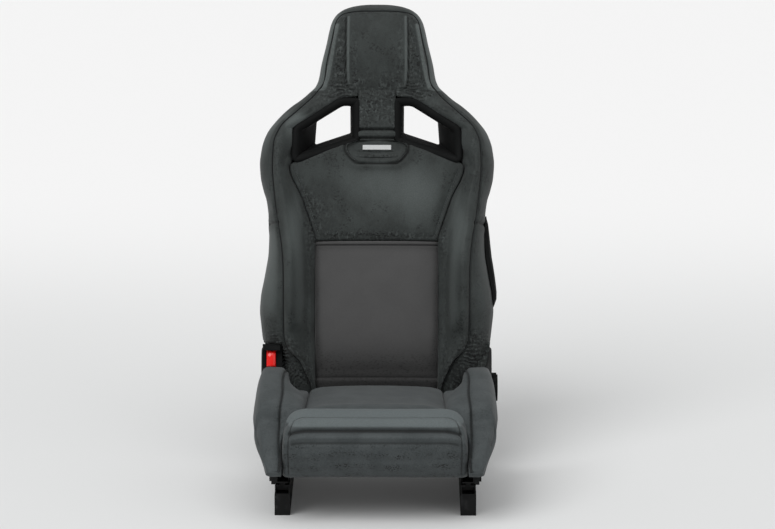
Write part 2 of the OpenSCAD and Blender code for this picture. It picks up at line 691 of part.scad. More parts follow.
// Moulded rear shell, a bulged tray in two parts, with the two belt openings in the upper one
function shell_half(s) = at(back_half, max(s, 100)) - shell_inset;
function shell_depth(s) =
    at([[shell_bottom, 20], [70, 34], [90, shell_t - 4], [180, shell_t], [560, shell_t],
        [700, shell_t - 2], [820, shell_t - 4], [868, 36], [886, 20]], s);
// Depth of the shell at share u of its half width, where its middle is at depth d
function shell_y(u, d) = pad_rear + 0.5 + (d - pad_rear) * pow(1 - pow(abs(u), 5), 0.2);
function shell_ring(s) =
    let (h = shell_half(s), d = shell_depth(s),
         across = [-1, -0.985, -0.94, -0.86, -0.6, -0.3, 0, 0.3, 0.6, 0.86, 0.94, 0.985, 1],
         back = [for (u = across) [u * h, shell_y(u, d), s]],
         front = [for (i = [len(across) - 1:-1:0])
             let (u = across[i])
             [u * (h - shell_wall), shell_y(u, d - shell_wall), s]])
    concat(back, front);
module window_prism(corners, t0, t1, grow) {
    m = [for (k = [0:1]) [for (p = corners) p[k]] * [for (p = corners) 1] / len(corners)];
    fat = [for (p = corners) p + grow * (p - m) / norm(p - m)];
    translate([0, t1, 0]) rotate([90, 0, 0]) linear_extrude(t1 - t0) polygon(rounded(fat, 6.5));
}
module rear_shell_lower() {
    stations = [shell_bottom, 70, 84, 104, 140, 180, 220, 260, 300, 340, 380, 420, 460, 500,
                shell_split];
    color(plastic_black) in_back() difference() {
        loft_wall([for (s = stations) shell_ring(s)]);
        for (k = [-1, 1]) translate([k > 0 ? 206 : -280, -1, 0]) cube([74, 80, 101]);
    }
}
module rear_shell_upper() {
    stations = [shell_split, 560, 590, 610, 630, 650, 668, 686, 704, 730, 770, 810, 845, 866, 880,
                887];
    color(plastic_black) in_back() difference() {
        loft_wall([for (s = stations) shell_ring(s)]);
        for (k = [-1, 1]) mirror([k < 0 ? 1 : 0, 0, 0])
            window_prism(hole_corners, 0, 70, bezel_wall + 5.5);
    }
}

// Screws of the rear shell's two parts
module shell_screws() {
    places = [[-150, 130], [150, 130], [-205, 420], [205, 420], [-60, 790], [60, 790]];
    color(steel_black) in_back() for (p = places)
        translate([p[0], shell_y(p[0] / shell_half(p[1]), shell_depth(p[1])) - 8, p[1]])
            rotate([-90, 0, 0]) cylinder(h = 9, r = 5, $fn = 32);
}

// Frames of the belt openings: funnels from the front rim to the hole in the shell
function grown(corners, d) =
    let (m = [for (k = [0:1]) [for (p = corners) p[k]] * [for (p = corners) 1] / len(corners)])
    [for (p = corners) p + d * (p - m) / norm(p - m)];
function at_depth(outline, depths) = [
    for (i = [0:len(outline) - 1]) [outline[i][0], -depths[floor(i / 4)], outline[i][1]]
];
module belt_bezel(side) {
    rear = [for (k = [0:4]) -bezel_rear_t];
    rim_out = at_depth(rounded(rim_corners, rim_round), rim_depth);
    rim_in = at_depth(rounded(grown(rim_corners, -5), rim_round * 0.9),
                      rim_depth - [for (t = rim_depth) 1]);
    hole_in = at_depth(rounded(hole_corners, 5), rear);
    hole_out = at_depth(rounded(grown(hole_corners, bezel_wall), 6.5), rear);
    color(plastic_black) on_side(side) in_back()
        loft_loop([rim_out, rim_in, hole_in, hole_out]);
}
module belt_bezel_left() { belt_bezel(-1); }
module belt_bezel_right() { belt_bezel(1); }

// Covers over the recliners: hollow dishes that turn with the backrest
module recliner_cover(side) {
    color(plastic_black) on_side(side) in_back() difference() {
        hull() {
            rod_x(cover_in, cover_out - 6, 50);
            rod_x(cover_out - 7, cover_out, 44);
            translate([0, -8, 62]) rod_x(cover_in, cover_out - 6, 34);
            translate([0, -8, 62]) rod_x(cover_out - 7, cover_out, 28);
        }
        hull() {
            rod_x(cover_in - 1, cover_out - cover_wall, 46);
            translate([0, -8, 62]) rod_x(cover_in - 1, cover_out - cover_wall, 30);
        }
        if (side > 0) rod_x(cover_in, cover_out + 1, hub_gap_r);
    }
}
module recliner_cover_left() { recliner_cover(-1); }
module recliner_cover_right() { recliner_cover(1); }

// Cover of the side module on the right-hand side of the backrest
function module_ring(s) =
    let (u = (s - 294) / 104, b = sqrt(max(1 - u * u, 0)), w = at(back_half, s) + 0.6,
         out = w + 2 + 13 * b * mix(1, 0.8, u > 0 ? u : 0))
    [[w, -34 - 4 * b, s], [w + 1 + (out - w) * 0.6, -26 - 4 * b, s], [out, -8, s], [out, 14, s],
     [w + 1 + (out - w) * 0.6, 30 + 4 * b, s], [w, 36 + 4 * b, s]];
module side_module_cover() {
    color(plastic_black) in_back() loft([for (s = [190:16:398]) module_ring(s)], true);
}

// Cable from the fold lever to the far side, clipped along the low cross tube
module release_cable() {
    route = [[-236, 12, 80], [-180, 12, 97], [180, 12, 97], [236, 12, 80]];
    color(plastic_black) in_back() {
        for (i = [0:2]) bar(route[i], route[i + 1], cable_r);
        for (i = [1, 2]) translate(route[i]) sphere(r = cable_r + weld, $fn = 24);
    }
}

// Middle pads of the backrest: front face from edge to edge, then the flat rear
function pad_ring(s, half, mid, edge, rear, n = 6) =
    let (across = [for (i = [-n:n]) sin(90 * i / n)])
    concat([for (u = across) [u * half, -(mix(mid, edge, u * u) - 9 * pow(abs(u), 14)), s]],
           [[half, rear, s], [-half, rear, s]]);
function low_rear(s) = s < 26 ? -shaft_r - 7 : pad_rear;
module lumbar_pad() {
    stations = [-11, -7, 2, 25, 27, 60, 100, 140, 180, 220, 260, 290, 312, 326, 333, lumbar_top];
    fill = [[-11, 38], [-7, 48], [2, 54], [27, lumbar_t], [140, 69], [240, 68], [312, 60], [326, 62],
            [333, 56], [lumbar_top, 46]];
    color(panel_cloth) in_back() loft([
        for (s = stations) pad_ring(s, lumbar_half, at(fill, s), at(fill, s) - 8, low_rear(s))
    ], true);
}
module shoulder_pad() {
    edge = concat([[lumbar_top + 1.5, 141]], [for (p = shoulder_half) if (p[0] > lumbar_top + 2) p]);
    color(suede) in_back() rotate([90, 0, 0]) translate([0, 0, -pad_rear])
        linear_extrude(shoulder_t + pad_rear)
            polygon(concat([for (p = edge) [p[1], p[0]]],
                           [for (i = [len(edge) - 1:-1:0]) [-edge[i][1], edge[i][0]]]));
}
module neck_pad() {
    stations = [567.5, 571, 575, 590, 596, 602, 630, 660, 680, 688.5];
    fill = [[567, 44], [571, 52], [575, 55], [590, 56], [596, 51], [602, 57], [660, 60], [688, 60]];
    color(suede) in_back() loft([
        for (s = stations) pad_ring(s, neck_half, at(fill, s), at(fill, s) - 3, pad_rear, 4)
    ], true);
}
function head_ring(s) =
    let (h = at(back_half, s), t = at(head_t, s), n = 8,
         across = [for (i = [-n:n]) sin(90 * i / n)])
    concat([for (u = across) [u * h, -mix(-4, t, pow(1 - pow(abs(u), 5), 0.45)), s]],
           [[h - 3, pad_rear, s], [3 - h, pad_rear, s]]);
module headrest_pad() {
    stations = [689.5, 694, 704, 721, 740, 770, 800, 825, 845, 860, 870, 878, 884, 889, 893, 895.5];
    color(suede) in_back() loft([for (s = stations) head_ring(s)], true);
}

// Bolsters of the backrest: inner wall, crest, side panel and a flat rear
function side_half(s, side) =
    s >= 112 ? at(back_half, s) : at(side > 0 ? low_right : low_left, s);
function back_bolster_ring(s, side) =
    let (w = side_half(s, side), xs = at(seam_x, s), ts = at(seam_t, s), rear = low_rear(s),
         hub = s < 104 ? -hub_clear : pad_rear,
         xf = at(wall_x, s), tf = at(wall_t, s), xc = at(crest_x, s), tc = at(crest_t, s),
         xo = min(at(outer_x, s), w - 4), to = at(outer_t, s),
         knots = [[xs, ts - 14], [xs + 1.5, ts - 4], [mix(xs, xf, 0.6), mix(ts, tf, 0.6)],
                  [xf, tf], [mix(xf, xc, 0.6), mix(tf, tc, 0.72)],
                  [xc, tc], [xo, to], [mix(xo, w, 0.5), mix(to, 24, 0.24)],
                  [mix(xo, w, 0.84), mix(to, 24, 0.6)], [w, max(22, 4 - hub)],
                  [w - 1, max(4, 2 - hub)]])
    concat([for (p = curve(knots, ring_steps)) [p[0], -p[1], s]],
           [[w - 3, hub, s], [min(hub_half, w - 4), hub, s], [min(hub_half, w - 4), rear, s],
            [xs, rear, s]]);
module back_bolster(side) {
    stations = [0, 25, 27, 48, 66, 80, 97, 99, 103.8, 104.2, 122, 150, 185, 220, 262, 300, 335, 360,
                404, 450, 495, 509, 516];
    rings = [for (s = stations) back_bolster_ring(s, side)];
    color(suede) on_side(side) in_back()
        loft(concat([drawn_in([for (p = rings[0]) p - [0, 0, 4]], 0.8)], rings), true);
}
module back_bolster_left() { back_bolster(-1); }
module back_bolster_right() { back_bolster(1); }

// Arms outside and above the belt openings
function arm_ring(s) =
    let (xi = s < 598 ? at(seam_x, s) : at(arm_top_x, s), w = at(back_half, s),
         ti = at([[516, 68], [545, 74], [618, 75], [650, 64], [689, 58]], s),
         tm = at([[516, 90], [560, 86], [620, 78], [660, 70], [689, 64]], s),
         knots = [[xi, 20], [xi, ti - 8], [xi + 4, ti], [mix(xi, w, 0.45), tm],
                  [mix(xi, w, 0.72), tm - 6], [mix(xi, w, 0.93), mix(tm, 20, 0.45)], [w, 18],
                  [w - 1, 2]])
    concat([for (p = curve(knots, ring_steps)) [p[0], -p[1], s]],
           [[w - 3, pad_rear, s], [xi, pad_rear, s]]);
module shoulder_arm(side) {
    stations = [517, 524, 534, 545, 560, 580, 598, 606, 620, 634, 649, 664, 673, 675, 678, 688.5];
    color(suede) on_side(side) in_back() loft([for (s = stations) arm_ring(s)], true);
}
module shoulder_arm_left() { shoulder_arm(-1); }
module shoulder_arm_right() { shoulder_arm(1); }

// Patch under the neck and its plain bar
module tag_patch() {
    color(suede) in_back() translate([0, -59.5, 0]) rotate([90, 0, 0])
        linear_extrude(3)
            polygon([[-70, 557], [-44, 570], [44, 570], [70, 557], [60, 534], [47, 521],
                     [-47, 521], [-60, 534]]);
}
module tag_bar() {
    color([0.8, 0.8, 0.8]) in_back() translate([-33, -64.5, 549]) cube([66, 2, 11]);
}

// Bezel of the red lever, its pin, and the lever that unlocks the folding backrest
module lever_bezel() {
    color(plastic_black) mirror([1, 0, 0]) in_back() difference() {
        translate([bezel_x[0], -bezel_t[1], bezel_s[0]])
            cube([bezel_x[1] - bezel_x[0], bezel_t[1] - bezel_t[0], bezel_s[1] - bezel_s[0]]);
        translate([lever_pivot[0] - lever_w / 2 - 1, -bezel_t[1] - 1, bezel_s[0] - 1])
            cube([lever_w + 2, bezel_t[1] - bezel_t[0] - 3, lever_pivot[2] - bezel_s[0] + 9]);
        translate([lever_pivot[0], -lever_pivot[1], lever_pivot[2]]) rod_x(-16, 16, lever_pin_r + 0.1);
    }
}
module lever_pin() {
    color(zinc) mirror([1, 0, 0]) in_back()
        translate([lever_pivot[0], -lever_pivot[1], lever_pivot[2]]) rod_x(-15.5, 15.5, lever_pin_r);
}
module fold_lever() {
    color(lever_red) mirror([1, 0, 0]) in_back()
        translate([lever_pivot[0], -lever_pivot[1], lever_pivot[2]]) difference() {
            union() {
                rod_x(-lever_w / 2, lever_w / 2, 6);
                plate_x(-lever_w / 2, lever_w / 2)
                    polygon([[0, -6], [2, -lever_drop + 4], [-2, -lever_drop], [-14, -lever_drop],
                             [-17, -lever_drop + 6], [-17, -10], [-12, 1], [-5, 4]]);
            }
            rod_x(-lever_w, lever_w, lever_pin_r + run_gap);
        }
}

riser_left();
riser_right();
lower_rail_left();
lower_rail_right();
rail_screws();
ball_cage_left();
ball_cage_right();
upper_rail_left();
upper_rail_right();
seat_side_left();
seat_side_right();
frame_bolts();
slide_latch_left();
slide_latch_right();
seat_cross_tubes();
seat_pan();
side_valance_left();
side_valance_right();
recliner_plate_left();
recliner_plate_right();
recliner_lower_left();
recliner_lower_right();
cushion_centre_pad();
cushion_front_roll();
cushion_bolster_left();
cushion_bolster_right();
release_bar();
sync_shaft();
hand_wheel();
recliner_upper_left();
recliner_upper_right();
recliner_arm_left();
recliner_arm_right();
back_bracket_left();
back_bracket_right();
back_hoop();
back_cross_tubes();
suspension_mat();
rear_shell_lower();
rear_shell_upper();
shell_screws();
belt_bezel_left();
belt_bezel_right();
recliner_cover_left();
recliner_cover_right();
side_module_cover();
release_cable();
lumbar_pad();
shoulder_pad();
neck_pad();
headrest_pad();
back_bolster_left();
back_bolster_right();
shoulder_arm_left();
shoulder_arm_right();
tag_patch();
tag_bar();
lever_bezel();
lever_pin();
fold_lever();
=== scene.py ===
"""Looks of a reclining sports seat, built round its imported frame.

Sizes inside the classes are millimetres; meshes are written in metres. Backrest points are
(x, t, s): x across, t forward of the backrest plane, s up the back from the recliner axis.
"""

from __future__ import annotations

import json
import logging
import math
from dataclasses import dataclass, field
from enum import Enum
from typing import Any, Callable, Sequence

import bmesh
import bpy
import numpy as np
from bpy.types import Material, Mesh, Node, NodeSocket, NodeTree, Object
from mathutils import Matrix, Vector

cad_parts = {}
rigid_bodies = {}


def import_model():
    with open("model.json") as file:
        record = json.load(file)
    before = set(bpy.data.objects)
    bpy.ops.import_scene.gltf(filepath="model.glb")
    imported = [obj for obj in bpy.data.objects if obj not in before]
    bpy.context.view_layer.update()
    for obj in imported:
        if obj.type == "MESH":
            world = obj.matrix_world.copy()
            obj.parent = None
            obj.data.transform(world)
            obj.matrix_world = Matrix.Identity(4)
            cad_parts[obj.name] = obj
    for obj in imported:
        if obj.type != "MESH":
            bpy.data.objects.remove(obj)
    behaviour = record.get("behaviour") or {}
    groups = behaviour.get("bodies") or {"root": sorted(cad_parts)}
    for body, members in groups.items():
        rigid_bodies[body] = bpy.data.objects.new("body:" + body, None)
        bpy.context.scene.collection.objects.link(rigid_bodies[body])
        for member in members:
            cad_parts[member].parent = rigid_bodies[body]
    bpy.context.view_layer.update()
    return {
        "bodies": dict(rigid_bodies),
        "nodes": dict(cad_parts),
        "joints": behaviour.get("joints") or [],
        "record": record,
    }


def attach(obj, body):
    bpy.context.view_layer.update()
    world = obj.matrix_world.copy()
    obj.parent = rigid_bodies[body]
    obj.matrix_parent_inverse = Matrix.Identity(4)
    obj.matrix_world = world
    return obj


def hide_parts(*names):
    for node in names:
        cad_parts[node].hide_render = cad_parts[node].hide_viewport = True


LOG = logging.getLogger("seat")
MM = 0.001
WAVE_RUN = 0.314  # metres between the bands of a wave texture at scale 1
CLOTH_FRAMES = 20
EASED = {"interpolation_type": "SMOOTHSTEP"}
TIMES = {"operation": "MULTIPLY"}
MOST = {"operation": "MAXIMUM"}
COLOURS = {"data_type": "RGBA"}
Array = np.ndarray
Knots = tuple[tuple[float, float], ...]


class Side(Enum):
    """Sides of the seat, as the sign of X."""

    LEFT = -1
    RIGHT = 1

    @property
    def word(self) -> str:
        """Word used in the names of pieces."""
        return self.name.lower()


@dataclass(frozen=True)
class Table:
    """A smooth curve through (position, value) knots that never overshoots them.

    Attributes:
        knots: Positions in rising order, each with its value.
    """

    knots: Knots

    def at(self, where: float | Array) -> Array:
        """Value of the curve.

        Args:
            where: One position or an array of them.

        Returns:
            The value at each position, held level past both ends.
        """
        k = np.asarray(self.knots, float)
        v = np.clip(np.asarray(where, float), k[0, 0], k[-1, 0])
        i = np.clip(np.searchsorted(k[:, 0], v, side="right") - 1, 0, len(k) - 2)
        step = np.diff(k[:, 0])
        secant = np.diff(k[:, 1]) / step
        product = secant[:-1] * secant[1:]
        total = np.where(product > 0, secant[:-1] + secant[1:], 1.0)
        inner = np.where(product > 0, 2 * product / total, 0.0)
        slope = np.concatenate([[secant[0]], inner, [secant[-1]]])
        u = (v - k[i, 0]) / step[i]
        a, b = k[i, 1], k[i + 1, 1]
        da, db = slope[i] * step[i], slope[i + 1] * step[i]
        return a + u * da + u**2 * (3 * (b - a) - 2 * da - db) + u**3 * (da + db - 2 * (b - a))


def mix(a: Any, b: Any, share: Any) -> Any:
    """Value that lies a share of the way from a to b."""
    return a + (b - a) * share


def ramp(low: float, high: float, value: Any) -> Any:
    """Smooth step from 0 at low to 1 at high."""
    u = np.clip((np.asarray(value, float) - low) / (high - low), 0, 1)
    return u * u * (3 - 2 * u)


def smooth_path(knots: Sequence[Sequence[float]], steps: int = 10) -> Array:
    """Curve through knots with rounded bends.

    Args:
        knots: The points that the curve passes through.
        steps: Points for each stretch between two knots.

    Returns:
        The points of the curve, with each knot at a multiple of steps.
    """
    p = np.asarray(knots, float)
    u = (np.arange(steps) / steps)[:, None]
    out = []
    for i in range(len(p) - 1):
        a, b, c, d = p[max(i - 1, 0)], p[i], p[i + 1], p[min(i + 2, len(p) - 1)]
        out.append(b + u * (c - a) / 2 + u**2 * (a - 2.5 * b + 2 * c - d / 2)
                   + u**3 * (1.5 * b - 1.5 * c + (d - a) / 2))
    return np.vstack([*out, p[-1:]])


def even(points: Array, count: int) -> Array:
    """The same path as count evenly spaced points, both ends included."""
    gaps = np.linalg.norm(np.diff(points, axis=0), axis=1)
    length = np.concatenate([[0.0], np.cumsum(gaps)])
    want = np.linspace(0, length[-1], count)
    return np.stack([np.interp(want, length, points[:, k]) for k in range(points.shape[1])], axis=1)


def stepped(stops: Sequence[float], pitch: float, scale: Callable[[Array], Array] | None = None) -> Array:
    """Rows between two stops, evenly spaced along a curve over them.

    Args:
        stops: First and last row.
        pitch: Distance between rows, in millimetres.
        scale: Height of the curve over a row, or None for a straight line.

    Returns:
        The rows, both stops included.
    """
    fine = np.linspace(stops[0], stops[-1], 2000)
    high = scale(fine) if scale else np.zeros_like(fine)
    length = np.concatenate([[0.0], np.cumsum(np.hypot(np.diff(fine), np.diff(high)))])
    count = max(int(round(length[-1] / pitch)), 2) + 1
    return np.interp(np.linspace(0, length[-1], count), length, fine)


def rounded_outline(corners: Sequence[Sequence[float]], radii: Sequence[float], count: int) -> Array:
    """A closed outline with rounded corners.

    Args:
        corners: The sharp corners in order.
        radii: How far from each corner its rounding starts.
        count: Points in the outline.

    Returns:
        Evenly spaced points, without repeating the first.
    """
    c = np.asarray(corners, float)
    out = []
    for i, (p, r) in enumerate(zip(c, radii)):
        a, b = c[i - 1], c[(i + 1) % len(c)]
        u = (a - p) / np.linalg.norm(a - p)
        v = (b - p) / np.linalg.norm(b - p)
        w = np.linspace(0, 1, 9)[:, None]
        out.append(p + u * r * (1 - w) ** 2 + v * r * w**2)
    loop = np.vstack([*out, out[0][:1]])
    return even(loop, count + 1)[:-1]


def offset_outline(outline: Array, by: float) -> Array:
    """A closed 2D outline moved outwards by a distance."""
    run = np.roll(outline, -1, 0) - np.roll(outline, 1, 0)
    normal = np.stack([run[:, 1], -run[:, 0]], axis=1)
    normal /= np.linalg.norm(normal, axis=1, keepdims=True)
    area = np.sum(outline[:, 0] * np.roll(outline[:, 1], -1) - np.roll(outline[:, 0], -1) * outline[:, 1])
    return outline + normal * by * np.sign(area)


def gap_to_path(p: Array, path: Array) -> Array:
    """Distance of each point from a path of straight stretches.

    Args:
        p: The points, one to a row.
        path: Points of the path.

    Returns:
        One distance for each point.
    """
    best = np.full(len(p), 1e9)
    for a, b in zip(path, path[1:]):
        run = b - a
        u = np.clip(((p - a) @ run) / max(run @ run, 1e-9), 0, 1)
        best = np.minimum(best, np.linalg.norm(p - a - u[:, None] * run, axis=1))
    return best


@dataclass(frozen=True)
class Lean:
    """Where backrest points lie in the seat's own frame.

    Attributes:
        y: Distance of the recliner axis behind the origin.
        z: Height of the recliner axis.
        angle: Backrest angle behind upright, in degrees.
    """

    y: float
    z: float
    angle: float = 18.0

    def __call__(self, p: Array) -> Array:
        """Turns (x, t, s) points into (x, y, z) points."""
        c, s = math.cos(math.radians(self.angle)), math.sin(math.radians(self.angle))
        p = np.asarray(p, float)
        return np.stack([p[..., 0], self.y - p[..., 1] * c + p[..., 2] * s,
                         self.z + p[..., 1] * s + p[..., 2] * c], axis=-1)


def upright(p: Array) -> Array:
    """Points that are already in the seat's own frame."""
    return np.asarray(p, float)


def link_mesh(name: str, points: Array, faces: Sequence[Sequence[int]]) -> Object:
    """Makes a smooth-shaded mesh object whose faces point outwards.

    Args:
        name: Name of the piece.
        points: Vertices in millimetres, in the seat's frame.
        faces: Vertex numbers of each face.

    Returns:
        The new object.
    """
    mesh = bpy.data.meshes.new(name)
    mesh.from_pydata((np.asarray(points) * MM).tolist(), [], [list(map(int, f)) for f in faces])
    mesh.validate()
    work = bmesh.new()
    work.from_mesh(mesh)
    bmesh.ops.recalc_face_normals(work, faces=work.faces)
    if work.calc_volume(signed=True) < 0:
        bmesh.ops.reverse_faces(work, faces=work.faces)
    work.to_mesh(mesh)
    work.free()
    mesh.shade_smooth()
    obj = bpy.data.objects.new(name, mesh)
    bpy.context.scene.collection.objects.link(obj)
    return obj


@dataclass
class Skin:
    """A closed pad surface: rows of points up the pad, each a closed ring round its section.

    Attributes:
        points: Rows by columns by three, in millimetres in the pad's own frame.
        place: Turns those points into the seat's frame.
        looped: True where the last row joins the first, as on a frame round a hole.
        nap: Painted light and shade with the pile's flecks, from -1, lighter, to 1, flecked and darker.
        crease: How much shade is painted at each point in a seam or fold, from 0 to 1.
    """

    points: Array
    place: Callable[[Array], Array] = upright
    looped: bool = False
    nap: Array = field(default_factory=lambda: np.zeros(0))
    crease: Array = field(default_factory=lambda: np.zeros(0))

    def __post_init__(self) -> None:
        """Starts with an even nap and no creases."""
        self.nap = np.zeros(self.points.shape[:2])
        self.crease = np.zeros(self.points.shape[:2])

    def lay_nap(self, middle: Sequence[float], reach: Sequence[float], amount: float) -> None:
        """Paints light round a place by brushing the pile up lighter, or shade by laying it down darker.

        Args:
            middle: Centre of the place.
            reach: How far it goes along each axis.
            amount: Strength, above 0 for painted shade with flecks and below 0 for painted light.
        """
        away = np.sum(((self.points - np.asarray(middle)) / np.asarray(reach)) ** 2, axis=2)
        self.nap = np.clip(self.nap + amount * np.exp(-(away**1.25)), -1, 1)

    def normals(self) -> Array:
        """Outward unit normal at each point."""
        p = self.points
        if self.looped:
            up = np.roll(p, -1, 0) - np.roll(p, 1, 0)
        else:
            up = np.gradient(p, axis=0)
        n = np.cross(up, np.roll(p, -1, 1) - np.roll(p, 1, 1))
        n /= np.linalg.norm(n, axis=2, keepdims=True) + 1e-9
        mid = p.mean(axis=1, keepdims=True)
        return n * np.sign(np.sum((p - mid) * n))

    def trace(self, path: Array, axes: tuple[int, int] = (0, 2), facing: tuple[int, int] = (1, 1)) -> Array:
        """Lays a path drawn in two coordinates on the surface.

        Args:
            path: Points in the two named coordinates.
            axes: The two coordinates that path gives.
            facing: The third coordinate, and the sign of the side that the path lies on.

        Returns:
            Points on the surface, in the pad's own frame.
        """
        n = self.normals()
        ok = n[..., facing[0]] * facing[1] > 0.12
        flat = self.points[ok]
        out = np.zeros((len(path), 3))
        for i, q in enumerate(np.asarray(path, float)):
            gap = (flat[:, axes[0]] - q[0]) ** 2 + (flat[:, axes[1]] - q[1]) ** 2
            near = np.argpartition(gap, 6)[:6]
            w = 1 / (gap[near] + 0.05)
            out[i, axes[0]], out[i, axes[1]] = q
            out[i, facing[0]] = np.sum(flat[near, facing[0]] * w) / np.sum(w)
        return out

    def distance(self, path: Array) -> Array:
        """Distance of each point from a path on the surface."""
        return gap_to_path(self.points.reshape(-1, 3), path).reshape(self.points.shape[:2])

    def groove(self, path: Array, width: float = 3.0, depth: float = 2.5, swell: float = 0.5) -> None:
        """Presses a sewn channel into the surface, with the pad swelling beside it and shade painted in it.

        Args:
            path: The channel's line, on the surface.
            width: Half width of the channel.
            depth: Depth at its middle; a negative depth raises a ridge.
            swell: Height of the roll along both sides.
        """
        d = self.distance(path)
        shape = -depth * np.exp(-((d / width) ** 2))
        shape += swell * np.exp(-(((d - 3 * width) / (2 * width)) ** 2))
        # Painted shade in the channel, and darker, flecked pile for some way beside it.
        if depth > 0:
            self.crease = np.maximum(self.crease, min(depth / 2.5, 1) * np.exp(-((d / (0.75 * width)) ** 2)))
            self.nap = np.maximum(self.nap, 0.45 * np.exp(-((d / 15) ** 2)))
        self.points = self.points + self.normals() * shape[..., None]

    def crumple(self, middle: Sequence[float], reach: Sequence[float], depth: float, seed: int,
                run: Sequence[float] = (1.0, 0.0, 0.35), pitch: float = 13.0) -> None:
        """Folds the cover into fine wrinkles round a place, with shade painted in the folds' valleys.

        Args:
            middle: Centre of the wrinkled place.
            reach: How far the wrinkles go along each axis.
            depth: Height of the folds.
            seed: Seed of the folds' waviness.
            run: Direction across the folds.
            pitch: Distance between folds.
        """
        rng = np.random.default_rng(seed)
        p = self.points
        fade = np.exp(-np.sum(((p - np.asarray(middle)) / np.asarray(reach)) ** 2, axis=2))
        phase = p @ (np.asarray(run, float) / np.linalg.norm(run)) * 2 * math.pi / pitch
        for _ in range(3):
            wave = rng.uniform(-1, 1, 3) * 2 * math.pi / (pitch * 3.2)
            phase = phase + 0.9 * np.sin(p @ wave + rng.uniform(0, 6.28))
        fold = (0.5 + 0.5 * np.sin(phase)) ** 1.6
        self.points = p + self.normals() * (fade * depth * fold)[..., None]
        # Painted shade in the valleys of the folds, and darker, flecked pile over the wrinkled place.
        self.crease = np.maximum(self.crease, min(depth / 4, 0.8) * fade * (1 - fold) ** 3)
        self.nap = np.maximum(self.nap, np.sqrt(fade) * min(depth / 2.5, 1))

    def brush(self, path: Array, reach: float, amount: float) -> None:
        """Paints a stripe of light, with the pile brushed up, or of shade, with it laid down, along a path.
        """
        stripe = np.exp(-((self.distance(path) / reach) ** 2))
        self.nap = mix(self.nap, amount, stripe)

    def grid_faces(self, rows: int, columns: int) -> list[list[int]]:
        """Faces of a grid of rows by columns, closed by fans round two extra end points."""
        faces = []
        last = rows if self.looped else rows - 1
        for i in range(last):
            for j in range(columns):
                a, b = i * columns + j, i * columns + (j + 1) % columns
                up = ((i + 1) % rows) * columns
                faces.append([a, b, up + (j + 1) % columns, up + j])
        if not self.looped:
            low, high, top = rows * columns, rows * columns + 1, (rows - 1) * columns
            for j in range(columns):
                faces.append([low, (j + 1) % columns, j])
                faces.append([high, top + j, top + (j + 1) % columns])
        return faces

    @staticmethod
    def with_ends(p: Array) -> Array:
        """Grid points in one list, with the middles of the first and last rows after them."""
        return np.vstack([p.reshape(-1, 3), p[0].mean(axis=0), p[-1].mean(axis=0)])

    def inflate(self, cap: float, *free: tuple[slice, slice], step: int = 4, pressure: float = 4.0
                ) -> None:
        """Blows the cover up with a cloth simulation on a coarse copy, held at its seams.

        Args:
            cap: How far a point may move, in millimetres.
            free: Rows and columns that may move, while the rest is sewn or glued down.
            step: Rows and columns of the fine grid for each one of the coarse grid.
            pressure: Pressure inside the pad.
        """
        rows, columns = self.points.shape[:2]
        held = np.ones((rows, columns), bool)
        for part in free:
            held[part] = False
        pick_r = np.unique(np.append(np.arange(0, rows, step), rows - 1))
        pick_c = np.arange(0, columns, step)
        coarse = self.points[np.ix_(pick_r, pick_c)]
        start = self.place(self.with_ends(coarse)) * MM
        faces = self.grid_faces(len(pick_r), len(pick_c))
        obj = link_mesh("cover_under_pressure", start / MM, faces)
        pins = held[np.ix_(pick_r, pick_c)].copy()
        pins[[0, -1]] = True
        group = obj.vertex_groups.new(name="sewn")
        keep = np.append(np.flatnonzero(pins.reshape(-1)), [len(start) - 2, len(start) - 1])
        group.add([int(k) for k in keep], 1.0, "REPLACE")
        cloth = obj.modifiers.new("cloth", "CLOTH")
        settings = cloth.settings
        settings.quality = 5
        settings.vertex_group_mass = group.name
        settings.use_pressure = True
        settings.uniform_pressure_force = pressure
        settings.effector_weights.gravity = 0
        settings.bending_stiffness = 2.0
        cloth.point_cache.frame_start, cloth.point_cache.frame_end = 1, CLOTH_FRAMES
        scene = bpy.context.scene
        for frame in range(1, CLOTH_FRAMES + 1):
            scene.frame_set(frame)
        blown = obj.evaluated_get(bpy.context.evaluated_depsgraph_get()).to_mesh()
        end = np.zeros(len(blown.vertices) * 3)
        blown.vertices.foreach_get("co", end)
        end = end.reshape(-1, 3)
        scene.frame_set(1)
        bpy.data.objects.remove(obj, do_unlink=True)
        move = (end - start)[: len(pick_r) * len(pick_c)] / MM
        size = np.linalg.norm(move, axis=1, keepdims=True)
        move *= np.tanh(size / cap) * cap / (size + 1e-9)
        move = move.reshape(len(pick_r), len(pick_c), 3)
        move = np.where(pins[..., None], 0, move)
        wide = np.concatenate([move, move[:, :1]], axis=1)
        at_c = np.append(pick_c, columns)
        by_column = np.stack([[np.interp(np.arange(columns), at_c, row[:, k]) for k in range(3)]
                              for row in wide])
        out = np.zeros_like(self.points)
        for k in range(3):
            for j in range(columns):
                out[:, j, k] = np.interp(np.arange(rows), pick_r, by_column[:, k, j])
        self.points = self.points + np.einsum("ijk,kl->ijl", out, self.turn())

    def turn(self) -> Array:
        """Matrix that takes a movement in the seat's frame into the pad's own frame."""
        zero = self.place(np.zeros(3))
        axes = np.stack([self.place(np.eye(3)[k]) - zero for k in range(3)])
        return axes.T

    def build(self, name: str, sharp: float = 50.0) -> Object:
        """Writes the surface as a mesh object.

        Args:
            name: Name of the piece.
            sharp: Angle past which an edge is shaded sharp, in degrees.

        Returns:
            The object.
        """
        rows, columns = self.points.shape[:2]
        flat = self.points.reshape(-1, 3) if self.looped else self.with_ends(self.points)
        obj = link_mesh(name, self.place(flat), self.grid_faces(rows, columns))
        obj.data.set_sharp_from_angle(angle=math.radians(sharp))
        for label, values in (("nap", self.nap), ("crease", self.crease)):
            ends = [] if self.looped else [values[0].mean(), values[-1].mean()]
            layer = obj.data.attributes.new(label, "FLOAT", "POINT")
            layer.data.foreach_set("value", np.append(values.reshape(-1), ends).astype(np.float32))
        return obj


